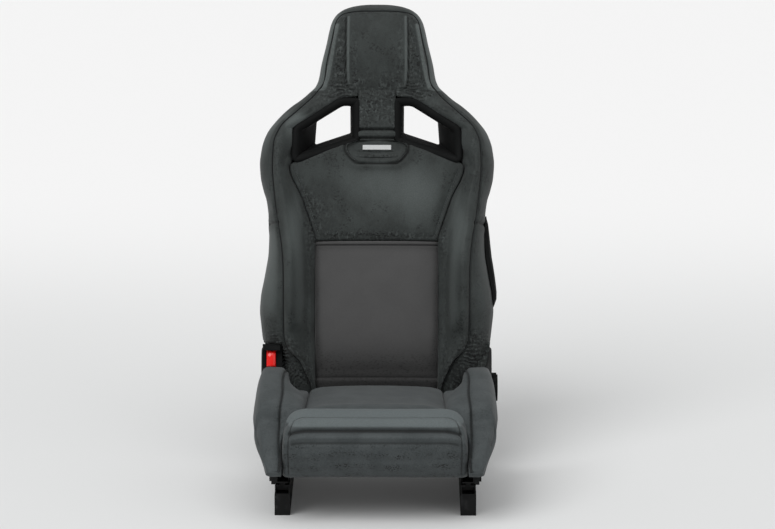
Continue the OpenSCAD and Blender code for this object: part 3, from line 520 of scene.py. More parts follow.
def add_node(tree: NodeTree, kind: str, inputs: dict[Any, Any] | None = None, **settings: Any) -> Node:
    """Adds one node with its settings and links.

    Args:
        tree: The node tree.
        kind: Type of the node.
        inputs: Socket name or number to a value, to the socket that feeds it, or to the node
            whose first output in use feeds it.
        settings: Attributes of the node.

    Returns:
        The node.
    """
    node = tree.nodes.new(kind)
    for key, value in settings.items():
        setattr(node, key, value)
    for key, value in (inputs or {}).items():
        if isinstance(value, Node):
            value = next(socket for socket in value.outputs if socket.enabled)
        if isinstance(value, NodeSocket):
            tree.links.new(value, node.inputs[key])
        else:
            node.inputs[key].default_value = value
    return node


def linear(code: str) -> tuple[float, float, float, float]:
    """A hex sRGB colour as linear red, green, blue and opacity."""
    parts = [int(code.lstrip("#")[i:i + 2], 16) / 255 for i in (0, 2, 4)]
    r, g, b = (c / 12.92 if c <= 0.04045 else ((c + 0.055) / 1.055) ** 2.4 for c in parts)
    return (r, g, b, 1.0)


@dataclass
class Recipe:
    """A material under construction.

    Attributes:
        name: The material and its process.
    """

    name: str

    def __post_init__(self) -> None:
        """Starts an empty node tree."""
        self.material = bpy.data.materials.new(self.name)
        self.material.use_nodes = True
        self.tree = self.material.node_tree
        self.tree.nodes.clear()
        self.where = self.add("TexCoord").outputs["Object"]

    def add(self, kind: str, inputs: dict[Any, Any] | None = None, **settings: Any) -> Node:
        """Adds one shader node, by the end of its type's name, as add_node does."""
        return add_node(self.tree, f"ShaderNode{kind}", inputs, **settings)

    def patches(self, size_mm: float, edges: Sequence[float] | None = None,
                out: Sequence[float] = (0, 1), detail: float = 2.0,
                stretch: Sequence[float] = (1, 1, 1), distortion: float = 0.0) -> Node:
        """Makes soft patches of a real size.

        Args:
            size_mm: Size of a patch.
            edges: Levels of the noise between which a patch fades in, or None for bare noise.
            out: Value between the patches and value inside them.
            detail: Finer noise on top.
            stretch: How much narrower a patch is along each axis.
            distortion: How far the patches are swirled.

        Returns:
            The last node, which gives the value.
        """
        place = self.add("Mapping", {"Vector": self.where, "Scale": tuple(stretch)})
        noise = self.add("TexNoise", {"Vector": place, "Scale": 1000 / size_mm, "Detail": detail,
                                      "Distortion": distortion})
        if edges is None:
            return noise
        return self.add("MapRange", {0: noise, 1: edges[0], 2: edges[1], 3: out[0], 4: out[1]}, **EASED)

    def painted(self, label: str, low: float = 0.0, high: float = 1.0,
                out: Sequence[float] = (0, 1)) -> Node:
        """A value kept at the points of the mesh, eased from between low and high to out."""
        value = self.add("Attribute", attribute_name=label).outputs["Fac"]
        return self.add("MapRange", {0: value, 1: low, 2: high, 3: out[0], 4: out[1]}, **EASED)

    def coats(self, ground: str, tints: Sequence[tuple[Any, str]]) -> Node:
        """A ground colour with tints laid over it in order, each by its share."""
        colour = linear(ground)
        for share, tint in tints:
            colour = self.add("Mix", {0: share, 6: colour, 7: linear(tint)}, **COLOURS)
        return colour

    def relief(self, *layers: tuple[Any, float, float]) -> Node:
        """Bumps on top of each other, the lowest first, each a height, strength and depth in mm."""
        under = {}
        for height, strength, deep_mm in layers:
            raised = self.add("Bump", {"Height": height, "Strength": strength,
                                       "Distance": deep_mm * MM, **under})
            under = {"Normal": raised}
        return raised

    def finish(self, **shader: Any) -> Material:
        """Closes the material with a Principled shader.

        Args:
            shader: Socket names, with _ for a space, to values, sockets or nodes.

        Returns:
            The material.
        """
        bsdf = self.add("BsdfPrincipled", {k.replace("_", " "): v for k, v in shader.items()})
        self.add("OutputMaterial", {"Surface": bsdf})
        return self.material


@dataclass(frozen=True)
class NappedSuede:
    """Brushed microfibre suede: soft, with faint strokes, dark flecks, and painted light and shade."""

    name: str
    colour: str
    stroke: str
    # raised and laid: lighter and darker copies of the suede, painted as light and shade; laid also colours
    # the flecks
    raised: str
    laid: str
    stroke_mm: float = 46.0
    fleck_mm: float = 7.0
    speck_mm: float = 5.4
    crumple_mm: float = 9.0
    fibre_mm: float = 1.6
    sheen: float = 0.08
    flecked: float = 0.6
    scatter: float = 0.4
    lit: float = 0.4
    painted_crease_shade: str = "#050606"

    def make(self) -> Material:
        """Builds the material."""
        r = Recipe(self.name)
        down = r.painted("nap")
        marks = r.add("Math", {0: self.dots(r), 1: r.patches(self.speck_mm, (0.56, 0.64), detail=1.0,
                                                             stretch=(0.7, 1, 1.2))}, **MOST)
        loose = r.add("Math", {0: r.patches(30.0, (0.5, 0.62), (0, self.flecked), 3.0, (1, 1, 0.8)),
                               1: r.painted("nap", -0.6, 0)}, **TIMES)
        dense = r.add("Math", {0: r.patches(21.0, (0.42, 0.6), (self.scatter, 1), 3.0, (0.8, 1, 1.3)),
                               1: down}, **TIMES)
        thick = r.add("Math", {0: loose, 1: dense}, **MOST)
        flecks = r.add("Math", {0: marks, 1: thick}, **TIMES)
        dark = r.add("Math", {0: flecks, 1: 0.9}, **TIMES)
        glints = r.patches(self.speck_mm * 1.4, (0.5, 0.68), (0, self.lit), stretch=(1.3, 1.3, 0.6))
        glints = r.add("Math", {0: glints, 1: down}, **TIMES)
        strokes = r.patches(self.stroke_mm, (0.35, 0.7), (0, 0.6), stretch=(1, 1, 0.7), distortion=0.3)
        short = r.patches(self.stroke_mm / 5, (0.35, 0.75), (0, 0.25), stretch=(1.2, 1.2, 0.8))
        # Painted light: the raised copy where the surface is brushed up, and the glints. Painted shade: the
        # laid copy where the pile lies down, and the crease shade in seams and folds.
        colour = r.coats(self.colour, (
            (strokes, self.stroke), (short, self.stroke),
            (r.painted("nap", -1, 0, (0.85, 0)), self.raised),
            (r.painted("nap", 0, 1, (0, 0.18)), self.laid), (glints, self.raised), (dark, self.laid),
            (r.painted("crease", 0, 1, (0, 0.85)), self.painted_crease_shade)))
        fibres = r.patches(self.fibre_mm, stretch=(1, 1, 0.6))
        grain = r.add("MapRange", {0: fibres, 1: 0.25, 2: 0.8, 3: 0.84, 4: 1.14}, **EASED)
        speck = r.add("CombineColor", {0: grain, 1: grain, 2: grain})
        colour = r.add("Mix", {0: 1.0, 6: colour, 7: speck}, blend_type="MULTIPLY", **COLOURS)
        rumple = r.add("Math", {0: r.patches(self.crumple_mm, detail=3.0), 1: down}, **TIMES)
        sunk = r.add("MapRange", {0: flecks, 3: 1.0, 4: 0.0}, **EASED)
        return r.finish(Base_Color=colour, Roughness=0.7, Specular_IOR_Level=0.25,
                        Sheen_Weight=self.sheen, Sheen_Roughness=0.5,
                        Normal=r.relief((rumple, 0.8, 2.4), (sunk, 0.5, 0.5), (fibres, 0.4, 0.3)))

    def dots(self, r: Recipe) -> Node:
        """Round flecks, one to each cell."""
        cells = r.add("TexVoronoi", {"Vector": r.where, "Scale": 1000 / self.fleck_mm})
        return r.add("MapRange", {0: cells, 1: 0.24, 2: 0.42, 3: 1.0, 4: 0.0}, **EASED)


@dataclass(frozen=True)
class WovenCloth:
    """Plain-woven synthetic cloth over foam: even threads, with a fine heathered tone."""

    name: str
    colour: str
    thread: str
    pitch_mm: float = 1.4
    sheen: float = 0.25
    # laid: darker copy of the cloth, painted as shade; the crease shade is painted in seams and folds
    laid: str = "#0d0d0d"
    painted_crease_shade: str = "#070707"

    def make(self) -> Material:
        """Builds the material."""
        r = Recipe(self.name)
        wave = {"Scale": WAVE_RUN / (self.pitch_mm * MM), "Distortion": 1.2, "Detail": 1.0,
                "Vector": r.where}
        warp = r.add("TexWave", wave, bands_direction="X").outputs["Fac"]
        weft = r.add("TexWave", wave, bands_direction="Z").outputs["Fac"]
        over = r.add("Math", {0: warp, 1: weft}, **MOST)
        heather = r.add("MapRange", {0: r.patches(5.0, (0.35, 0.7), detail=3.0), 4: 0.3}, **EASED)
        cloud = r.add("MapRange", {0: r.patches(60.0, (0.3, 0.7)), 4: 0.2}, **EASED)
        flecks = r.add("Math", {0: r.patches(3.6, (0.52, 0.66), (0, 0.5), stretch=(0.6, 1, 1.4)),
                                1: r.painted("nap", 0.2, 0.9)}, **TIMES)
        # Painted shade: the laid copy and dark flecks where the mesh's value is high, and the crease shade in
        # seams and folds.
        dark = r.add("Math", {0: flecks, 1: r.painted("crease", 0, 1, (0, 0.85))}, **MOST)
        colour = r.coats(self.colour, ((over, self.thread), (heather, self.thread), (cloud, self.colour),
                                       (r.painted("nap", 0, 1, (0, 0.58)), self.laid),
                                       (dark, self.painted_crease_shade)))
        return r.finish(Base_Color=colour, Roughness=0.88, Specular_IOR_Level=0.2,
                        Sheen_Weight=self.sheen, Sheen_Roughness=0.5, Normal=r.relief((over, 0.35, 0.3)))


@dataclass(frozen=True)
class MouldedPlastic:
    """Injection-moulded plastic with a spark-eroded grain that dulls its gloss."""

    name: str
    colour: str
    rough: float = 0.5
    specular: float = 0.35
    grain_mm: float = 0.9

    def make(self) -> Material:
        """Builds the material."""
        r = Recipe(self.name)
        grain = r.patches(self.grain_mm)
        light = tuple(min(c * 1.35, 1.0) for c in linear(self.colour)[:3]) + (1.0,)
        peaks = r.add("MapRange", {0: grain, 1: 0.35, 2: 0.75, 4: 0.6}, **EASED)
        colour = r.add("Mix", {0: peaks, 6: linear(self.colour), 7: light}, **COLOURS)
        rough = r.patches(45.0, (0.3, 0.7), (self.rough - 0.06, self.rough + 0.08))
        return r.finish(Base_Color=colour, Roughness=rough, Specular_IOR_Level=self.specular,
                        Normal=r.relief((grain, 0.25, 0.12)))


@dataclass(frozen=True)
class CoatedSteel:
    """Powder-coated pressed steel: a slightly pebbled satin coat, rubbed brighter along edges."""

    name: str
    colour: str
    rubbed: str
    rough: float = 0.42

    def make(self) -> Material:
        """Builds the material."""
        r = Recipe(self.name)
        edge = r.add("NewGeometry").outputs["Pointiness"]
        rub = r.add("MapRange", {0: edge, 1: 0.53, 2: 0.62, 4: 0.5}, **EASED)
        worn = r.add("Math", {0: rub, 1: r.patches(14.0, (0.5, 0.75), detail=4.0)}, **TIMES)
        rough = r.patches(30.0, (0.3, 0.7), (self.rough - 0.05, self.rough + 0.1))
        return r.finish(Base_Color=r.coats(self.colour, [(worn, self.rubbed)]), Roughness=rough,
                        Specular_IOR_Level=0.22, Normal=r.relief((r.patches(1.6), 0.2, 0.15)))


@dataclass(frozen=True)
class PlatedSteel:
    """Zinc-plated steel: bright metal whose passivated skin varies a little in tone."""

    name: str
    colour: str = "#5b5e60"
    shade: str = "#3c4042"

    def make(self) -> Material:
        """Builds the material."""
        r = Recipe(self.name)
        skin = r.patches(9.0, (0.35, 0.7), detail=3.0)
        rough = r.patches(3.0, (0.3, 0.7), (0.26, 0.42), 3.0, (0.15, 1, 1))
        return r.finish(Base_Color=r.coats(self.colour, [(skin, self.shade)]), Metallic=1.0,
                        Roughness=rough, Normal=r.relief((r.patches(0.8), 0.1, 0.1)))


@dataclass(frozen=True)
class GlossLacquer:
    """Glossy moulded plastic, coloured through, with faint ripples from the mould."""

    name: str
    colour: str
    deep: str

    def make(self) -> Material:
        """Builds the material."""
        r = Recipe(self.name)
        cloud = r.patches(12.0, (0.3, 0.7), (0, 0.3))
        rough = r.patches(4.0, (0.3, 0.7), (0.16, 0.26))
        ripple = r.patches(7.0, detail=1.0)
        return r.finish(Base_Color=r.coats(self.colour, [(cloud, self.deep)]), Roughness=rough,
                        Normal=r.relief((ripple, 0.08, 0.3)))


@dataclass(frozen=True)
class Thread:
    """Twisted sewing thread or a corded edge, slightly shinier than the cloth round it."""

    name: str
    colour: str
    light: str
    twist_mm: float = 0.9

    def make(self) -> Material:
        """Builds the material."""
        r = Recipe(self.name)
        twist = r.add("TexWave", {"Vector": r.where, "Scale": WAVE_RUN / (self.twist_mm * MM),
                                  "Distortion": 2.0}, bands_direction="DIAGONAL").outputs["Fac"]
        return r.finish(Base_Color=r.coats(self.colour, [(twist, self.light)]), Roughness=0.8,
                        Specular_IOR_Level=0.2, Sheen_Weight=0.05,
                        Normal=r.relief((twist, 0.3, 0.15)))


@dataclass
class Finishes:
    """The finishes of the seat by the record's slots, with the threads beside them."""

    made: dict[str, Material] = field(default_factory=dict)

    def __post_init__(self) -> None:
        """Makes every finish once."""
        self.made = {
            "suede": NappedSuede("napped_microfibre_suede", "#272b2a", "#363b3a", "#535958",
                                 "#070808").make(),
            # The cushion suede is a lighter copy of the backrest suede: partly its own bluish tone, partly
            # painted light from above.
            "cushion_cloth": NappedSuede("cushion_suede_with_painted_top_light", "#3a3f40", "#474c4d", "#596061",
                                         "#131515", fleck_mm=5.2, speck_mm=4.2, flecked=0.25,
                                         scatter=0.1, lit=0.15).make(),
            "panel_cloth": WovenCloth("woven_panel_cloth", "#3a3a3a", "#494949").make(),
            "black_plastic": MouldedPlastic("moulded_black_plastic", "#101111", 0.55).make(),
            "frame_steel": CoatedSteel("powder_coated_steel", "#080909", "#343536", 0.5).make(),
            "zinc_steel": PlatedSteel("black_zinc_plated_steel").make(),
            "lever_red": GlossLacquer("moulded_red_plastic", "#e4160f", "#bb0e0a").make(),
            "tag_grey": WovenCloth("woven_ribbon", "#a9abab", "#c2c4c4", 0.8, 0.1).make(),
            "soft_plastic": MouldedPlastic("soft_touch_moulding", "#0d0e0e", 0.8, 0.12).make(),
            "piping": Thread("corded_piping", "#1b1e1e", "#292d2d").make(),
            "stitch": Thread("twisted_sewing_thread", "#3f4544", "#575e5d").make(),
        }

    def of(self, slot: str) -> Material:
        """The finish of one slot."""
        return self.made[slot]


def dress(obj: Object, finish: Material, body: str) -> None:
    """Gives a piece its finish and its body.

    Args:
        obj: The piece.
        finish: Its material.
        body: CAD body that it rides on.
    """
    obj.data.materials.append(finish)
    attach(obj, body)
    LOG.info("%s: %d points", obj.name, len(obj.data.vertices))


@dataclass
class SeamTool:
    """Lays piping and stitches along paths with geometry node trees.

    Attributes:
        finishes: The finishes of the seat.
        piping_radius: Radius of the piping's cord.
        piping_step: Length of one stretch of the cord.
        stitch_length: Length of one stitch.
        stitch_pitch: Distance from one stitch to the next.
        stitch_radius: Radius of the thread.
        runs: Paths laid so far, by finish and body, in millimetres in the seat's frame.
    """

    finishes: Finishes
    piping_radius: float = 1.0
    piping_step: float = 2.5
    stitch_length: float = 3.6
    stitch_pitch: float = 5.2
    stitch_radius: float = 0.42
    runs: dict[tuple[str, str], list[Array]] = field(default_factory=dict)

    def piping(self, body: str, path: Array) -> None:
        """Keeps a path for piping on a body."""
        self.runs.setdefault(("piping", body), []).append(path)

    def stitches(self, body: str, path: Array) -> None:
        """Keeps a path for a row of stitches on a body."""
        self.runs.setdefault(("stitch", body), []).append(path)

    def sew(self) -> None:
        """Turns every kept path into piping or stitches, one piece for each body."""
        trees = {"piping": self.piping_tree(), "stitch": self.stitch_tree()}
        for (kind, body), paths in self.runs.items():
            tree, sizes = trees[kind]
            obj = self.evaluated(f"{body}_{kind}", self.edges(paths), tree, sizes)
            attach(obj, body)
            LOG.info("%s: %d faces", obj.name, len(obj.data.polygons))

    @staticmethod
    def edges(paths: Sequence[Array]) -> Mesh:
        """A mesh of bare edges along the paths."""
        mesh = bpy.data.meshes.new("seam_paths")
        points, lines = [], []
        for path in paths:
            lines += [(len(points) + i, len(points) + i + 1) for i in range(len(path) - 1)]
            points += (np.asarray(path) * MM).tolist()
        mesh.from_pydata(points, lines, [])
        return mesh

    @staticmethod
    def evaluated(name: str, mesh: Mesh, tree: NodeTree,
                  sizes: dict[str, float]) -> Object:
        """Runs a tree on a mesh and keeps the result as a plain object."""
        carrier = bpy.data.objects.new(f"{name}_path", mesh)
        bpy.context.scene.collection.objects.link(carrier)
        modifier = carrier.modifiers.new("laid", "NODES")
        modifier.node_group = tree
        for item in tree.interface.items_tree:
            if item.item_type == "SOCKET" and item.in_out == "INPUT" and item.name in sizes:
                modifier[item.identifier] = sizes[item.name]
        graph = bpy.context.evaluated_depsgraph_get()
        plain = bpy.data.meshes.new_from_object(carrier.evaluated_get(graph))
        bpy.data.objects.remove(carrier, do_unlink=True)
        obj = bpy.data.objects.new(name, plain)
        bpy.context.scene.collection.objects.link(obj)
        obj.data.shade_smooth()
        return obj

    @staticmethod
    def new_tree(name: str, sizes: dict[str, float]) -> tuple[NodeTree, Any]:
        """Starts a geometry node tree, and gives it with the sockets of its inputs."""
        tree = bpy.data.node_groups.new(name, "GeometryNodeTree")
        tree.interface.new_socket("Geometry", in_out="INPUT", socket_type="NodeSocketGeometry")
        for label in sizes:
            tree.interface.new_socket(label, in_out="INPUT", socket_type="NodeSocketFloat")
        tree.interface.new_socket("Geometry", in_out="OUTPUT", socket_type="NodeSocketGeometry")
        return tree, add_node(tree, "NodeGroupInput").outputs

    def piping_tree(self) -> tuple[NodeTree, dict[str, float]]:
        """Tree that runs a round cord along edges."""
        sizes = {"Radius": self.piping_radius * MM, "Step": self.piping_step * MM}
        tree, given = self.new_tree("piping_along_a_seam", sizes)
        curve = add_node(tree, "GeometryNodeMeshToCurve", {0: given["Geometry"]})
        run = add_node(tree, "GeometryNodeResampleCurve", {"Curve": curve, "Length": given["Step"]},
                       mode="LENGTH")
        ring = add_node(tree, "GeometryNodeCurvePrimitiveCircle",
                        {"Resolution": 8, "Radius": given["Radius"]})
        tube = add_node(tree, "GeometryNodeCurveToMesh",
                        {"Curve": run, "Profile Curve": ring, "Fill Caps": True})
        self.end_tree(tree, tube, "piping")
        return tree, sizes

    def stitch_tree(self) -> tuple[NodeTree, dict[str, float]]:
        """Tree that sets one short stitch at each pitch along edges."""
        sizes = {"Pitch": self.stitch_pitch * MM, "Length": self.stitch_length * MM,
                 "Radius": self.stitch_radius * MM}
        tree, given = self.new_tree("stitches_along_a_seam", sizes)
        curve = add_node(tree, "GeometryNodeMeshToCurve", {0: given["Geometry"]})
        spots = add_node(tree, "GeometryNodeCurveToPoints", {"Curve": curve, "Length": given["Pitch"]},
                         mode="LENGTH")
        stitch = add_node(tree, "GeometryNodeMeshCylinder",
                          {"Vertices": 6, "Side Segments": 1, "Radius": given["Radius"],
                           "Depth": given["Length"]})
        turn = add_node(tree, "FunctionNodeAlignRotationToVector", {"Vector": spots.outputs["Tangent"]},
                        axis="Z")
        laid = add_node(tree, "GeometryNodeInstanceOnPoints",
                        {"Points": spots, "Instance": stitch, "Rotation": turn})
        self.end_tree(tree, laid, "stitch")
        return tree, sizes

    def end_tree(self, tree: NodeTree, shape: Node, slot: str) -> None:
        """Ends a tree in Realize Instances and Set Material."""
        solid = add_node(tree, "GeometryNodeRealizeInstances", {0: shape})
        dressed = add_node(tree, "GeometryNodeSetMaterial",
                           {"Geometry": solid, "Material": self.finishes.of(slot)})
        add_node(tree, "NodeGroupOutput", {"Geometry": dressed})


@dataclass(frozen=True)
class BackForm:
    """Curves that the backrest pads share, as (s, value) knots, and a few single sizes.

    A line up the pads has a curve across, _x, and one forward, _t: a bolster's inner seam, the wall
    beside it, its crest, the outer seam, and the edge and middle of an arm.

    Attributes:
        pad_rear: Depth of the pads behind the backrest plane.
        hub_clear: Height of the room in front of the recliner hubs, hub_half wide.
        hub_blend: Where that room ends.
        shaft_gap: Height of the room in front of the shaft, up to shaft_top.
        arm_s: Where an arm closes over its belt opening.
        arm_blend: Where a bolster turns into its arm.
        head_blend: Where an arm turns into the headrest.
        columns: Points in the inner, outer and rear part of a ring.
    """

    half: Table = Table(((96, 262), (112, 264), (145, 268), (177, 271), (210, 269), (243, 263),
                         (276, 257), (309, 252), (350, 250.5), (384, 251), (407, 253), (434, 257),
                         (457, 264), (490, 271), (523, 273), (556, 269), (589, 258), (622, 234),
                         (655, 200), (671, 179), (688, 160), (704, 144), (721, 137), (754, 131),
                         (804, 119), (837, 112), (854, 107), (870, 98), (882, 84), (890, 66),
                         (895, 44), (897.5, 22), (898.6, 2)))
    low_left: Table = Table(((-26, 200), (0, 206), (34, 221), (96, 222), (97.5, 236),
                             (99, 258), (112, 264)))
    low_right: Table = Table(((-26, 200), (0, 205), (18, 217), (31, 234), (41, 247), (54, 254.5),
                              (80, 259), (97, 262), (112, 264)))
    seam_x: Table = Table(((0, 141.8), (346, 142.4), (358, 147), (434, 173), (509, 203), (516, 199),
                           (530, 196), (598, 196)))
    seam_t: Table = Table(((-26, 38), (-8, 50), (10, 53), (300, 54), (434, 62), (509, 67), (620, 74)))
    wall_x: Table = Table(((0, 145), (30, 152), (60, 158), (120, 162), (300, 166), (361, 176),
                           (434, 194), (509, 214)))
    wall_t: Table = Table(((-26, 38), (0, 50), (60, 62), (262, 70), (434, 74), (509, 76)))
    crest_x: Table = Table(((-26, 147), (0, 150), (30, 162), (60, 176), (90, 194), (120, 199), (300, 200),
                            (361, 208), (434, 217), (509, 231), (600, 226)))
    crest_t: Table = Table(((-26, 42), (0, 54), (20, 64), (60, 80), (90, 90), (119, 99), (145, 116),
                            (180, 124), (262, 125), (310, 121), (361, 111), (434, 99), (509, 91),
                            (600, 80)))
    outer_x: Table = Table(((-26, 150), (0, 154), (30, 166), (57, 180), (80, 203), (107, 214), (123, 215),
                            (262, 216), (310, 219), (361, 226), (434, 237), (511, 243), (560, 241),
                            (600, 226), (646, 180), (671, 155), (688, 140), (704, 127),
                            (721, 122), (754, 118), (804, 107), (837, 100), (854, 95)))
    outer_t: Table = Table(((-26, 36), (0, 48), (20, 56), (60, 70), (119, 88), (180, 112), (262, 114),
                            (361, 100), (434, 88), (511, 81), (560, 81), (600, 77), (646, 65),
                            (671, 54), (688, 43)))
    arm_top_x: Table = Table(((598, 196), (604, 189), (634, 142), (664, 95), (671, 80), (674, 60),
                              (677, 45), (689, 44)))
    arm_edge_t: Table = Table(((516, 70), (545, 75), (618, 74), (650, 63), (689, 57)))
    arm_mid_t: Table = Table(((516, 90), (560, 87), (620, 78), (660, 69), (689, 62)))
    head_t: Table = Table(((680, 59), (690, 60), (720, 66), (780, 74), (830, 73), (856, 67),
                           (872, 57), (884, 43), (892, 27), (896.5, 13), (898.6, 0)))
    shoulder: Table = Table(((338, 141.5), (346, 142), (358, 146), (434, 172), (509, 202),
                             (517, 197), (521, 188), (529, 167), (539, 141), (551, 105),
                             (563, 69), (569, 51)))
    pad_rear: float = 8.0
    hub_clear: float = 46.0
    hub_half: float = 216.0
    hub_blend: tuple[float, float] = (99.0, 106.0)
    shaft_gap: float = 14.0
    shaft_top: float = 26.0
    arm_s: float = 598.0
    arm_blend: tuple[float, float] = (516.0, 566.0)
    head_blend: tuple[float, float] = (640.0, 689.0)
    columns: tuple[int, int, int] = (32, 28, 16)

    def width(self, s: float, side: Side) -> float:
        """Half width of the backrest at a height s on one side."""
        low = self.low_right if side is Side.RIGHT else self.low_left
        return float(self.half.at(s) if s >= 112 else low.at(s))

    def pad_back(self, s: float) -> float:
        """Rear of the pads at a height s, with room for the recliners' shaft."""
        return self.shaft_gap if s < self.shaft_top else -self.pad_rear

    def head_front(self, x: Array, s: Array) -> Array:
        """Front of the headrest at x and s."""
        u = np.clip(np.abs(x) / self.half.at(s), 0, 1)
        return mix(-4.0, self.head_t.at(s), (1 - u**5) ** 0.45)

    def bolster_section(self, s: float, side: Side) -> tuple[Array, Array]:
        """Section of a bolster in (x, t), up to its outer seam and from there on."""
        w = self.width(s, side)
        xs, ts = self.seam_x.at(s), self.seam_t.at(s)
        xf, tf = self.wall_x.at(s), self.wall_t.at(s)
        xc, tc = self.crest_x.at(s), self.crest_t.at(s)
        xo, to = min(self.outer_x.at(s), w - 4), self.outer_t.at(s)
        under = mix(self.hub_clear + 4, 22.0, ramp(*self.hub_blend, s))
        knots = [[xs, ts - 14], [xs + 1.5, ts - 4], [mix(xs, xf, 0.6), mix(ts, tf, 0.6)], [xf, tf],
                 [mix(xf, xc, 0.6), mix(tf, tc, 0.72)], [xc, tc], [xo, to],
                 [mix(xo, w, 0.5), mix(to, 24, 0.24)], [mix(xo, w, 0.84), mix(to, 24, 0.6)],
                 [w, max(22, under)], [w - 1, max(4, under - 2)]]
        path = smooth_path(knots)
        return path[:61], path[60:]

    def arm_section(self, s: float, xi: float) -> tuple[Array, Array]:
        """Section of an arm beside and above a belt opening, split at its outer seam."""
        w, xo, to = float(self.half.at(s)), float(self.outer_x.at(s)), float(self.outer_t.at(s))
        ti, tm = float(self.arm_edge_t.at(s)), float(self.arm_mid_t.at(s))
        knots = [[xi, 20], [xi, ti - 8], [xi + 4, ti], [mix(xi, xo, 0.55), tm], [xo, to],
                 [mix(xo, w, 0.5), mix(to, 20, 0.3)], [mix(xo, w, 0.86), mix(to, 20, 0.65)],
                 [w, 18], [w - 1, 2]]
        path = smooth_path(knots)
        return path[:41], path[40:]

    def head_section(self, s: float, xi: float) -> tuple[Array, Array]:
        """Section of the headrest from xi outwards, split at its border seam."""
        w, xo = float(self.half.at(s)), float(self.outer_x.at(s))
        inner = np.linspace(xi, xo, 40)
        outer = w * np.sin(np.linspace(math.asin(min(xo / w, 1)), math.pi / 2, 30))
        a = np.stack([inner, self.head_front(inner, s)], axis=1)
        b = np.stack([outer, self.head_front(outer, s)], axis=1)
        return np.vstack([[[xi, 20], [xi, a[0, 1] - 5]], a]), b

    def side_ring(self, s: float, side: Side) -> Array:
        """One closed ring of a bolster or an arm, as (x, t, s) points."""
        xi = float(self.seam_x.at(s) if s < self.arm_s else self.arm_top_x.at(s))
        na, nb, nc = self.columns
        a, b = self.bolster_section(min(s, 600), side)
        a, b = even(a, na + 1), even(b, nb + 1)
        if s > self.arm_blend[0]:
            arm_a, arm_b = (even(part, n + 1) for part, n in zip(self.arm_section(s, xi), (na, nb)))
            share = float(ramp(*self.arm_blend, s))
            a, b = mix(a, arm_a, share), mix(b, arm_b, share)
        if s > self.head_blend[0]:
            head_a, head_b = (even(part, n + 1) for part, n in zip(self.head_section(s, xi), (na, nb)))
            share = float(ramp(*self.head_blend, s))
            a, b = mix(a, head_a, share), mix(b, head_b, share)
        w = b[-1, 0]
        hub = mix(self.hub_clear, -self.pad_rear, float(ramp(*self.hub_blend, s)))
        rear = self.pad_back(s)
        cut = min(self.hub_half, w - 4) if s < self.hub_blend[1] else w - 4
        c = np.array([b[-1], [w - 2, hub], [cut, hub], [cut - 0.5, min(rear, hub)], [a[0, 0], rear], a[0]])
        ring = np.vstack([a[:-1], b[:-1], even(c, nc + 1)[:-1]])
        return np.column_stack([ring, np.full(len(ring), s)])


@dataclass
class Pad:
    """A pad with a shaped front, straight edges and a flat rear.

    Attributes:
        half: Half width at each row.
        front: Height of the front over (x, row).
        rear: Height of the rear over a row.
        stops: First and last row.
        edge: Width and depth of the rounding along its outline.
        rear_half: Half width of the rear face where it is narrower than the front.
        rounded_top: False where the last row runs flush into the next pad.
        shoulder: Height over the rear at which the side walls turn in.
        shade: How much shade is painted in the seam round the front.
        pitch: Distance between rows, in millimetres.
        front_columns: Points across the front.
    """

    half: Callable[[Array], Array]
    front: Callable[[Array, Array], Array]
    rear: Callable[[float], float]
    stops: tuple[float, float]
    edge: tuple[float, float] = (9.0, 6.0)
    rear_half: float | None = None
    rounded_top: bool = True
    shoulder: float = 12.0
    shade: float = 0.5
    pitch: float = 2.5
    front_columns: int = 96

    def skin(self, place: Callable[[Array], Array]) -> Skin:
        """Builds the pad's surface."""
        rows = stepped(self.stops, self.pitch, self.half)
        u = np.linspace(-1, 1, self.front_columns + 1)
        u = 0.6 * u + 0.4 * np.sin(u * math.pi / 2)
        halves = np.asarray(self.half(rows), float)
        x = halves[:, None] * u
        s = np.broadcast_to(rows[:, None], x.shape)
        border = np.vstack([np.stack([halves, rows], 1)[::-1], np.stack([-halves, rows], 1)])
        if self.rounded_top:
            border = np.vstack([border, border[:1]])
        away = gap_to_path(np.stack([x.ravel(), s.ravel()], 1), border).reshape(x.shape)
        k = np.clip(1 - away / self.edge[0], 0, 1)
        t = self.front(x, s) - self.edge[1] * (1 - np.sqrt(1 - k * k * 0.98))
        rings = []
        for i, row in enumerate(rows):
            low, h = self.rear(row), halves[i]
            foot = self.rear_half or h
            right = even(np.array([[h, t[i, -1]], [h, low + self.shoulder], [foot, low]]), 9)[:-1]
            back = even(np.array([[foot, low], [-foot, low]]), 17)[:-1]
            left = even(np.array([[-foot, low], [-h, low + self.shoulder], [-h, t[i, 0]]]), 9)[:-1]
            ring = np.vstack([np.stack([x[i, :-1], t[i, :-1]], 1), right, back, left])
            rings.append(np.column_stack([ring, np.full(len(ring), row)]))
        skin = Skin(np.array(rings), place)
        # Painted shade in the seam round the front, and darker, flecked pile for a little way inside it.
        skin.crease[:, : self.front_columns + 1] = self.shade * k**4
        skin.nap[:, : self.front_columns + 1] = 0.4 * np.exp(-((away / 14) ** 2))
        return skin

    def free(self) -> tuple[slice, slice]:
        """Rows and columns of the front, which isn't glued or sewn down."""
        return np.s_[2:-2, 2 : self.front_columns - 1]


class Kind(Enum):
    """What a piece of upholstery is covered with."""

    NAPPED = "suede"
    WOVEN = "panel_cloth"
    SEAT = "cushion_cloth"


@dataclass
class Upholstery:
    """Shared work of the backrest and cushion covers.

    Attributes:
        finishes: The finishes of the seat, by record slot.
        seams: Tool that makes piping and stitches.
    """

    finishes: Finishes
    seams: SeamTool

    def cover(self, skin: Skin, name: str, kind: Kind, body: str, nodes: Sequence[str],
              fill: float = 0.8) -> Object:
        """Turns a finished skin into a covered pad that rides on a body.

        Args:
            skin: The pad's surface.
            name: Name of the piece.
            kind: Its covering.
            body: CAD body that it rides on.
            nodes: CAD nodes that it stands for.
            fill: How full it is stuffed, from 0 to 1; not used.

        Returns:
            The piece.
        """
        obj = skin.build(name)
        dress(obj, self.finishes.of(kind.value), body)
        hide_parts(*nodes)
        return obj


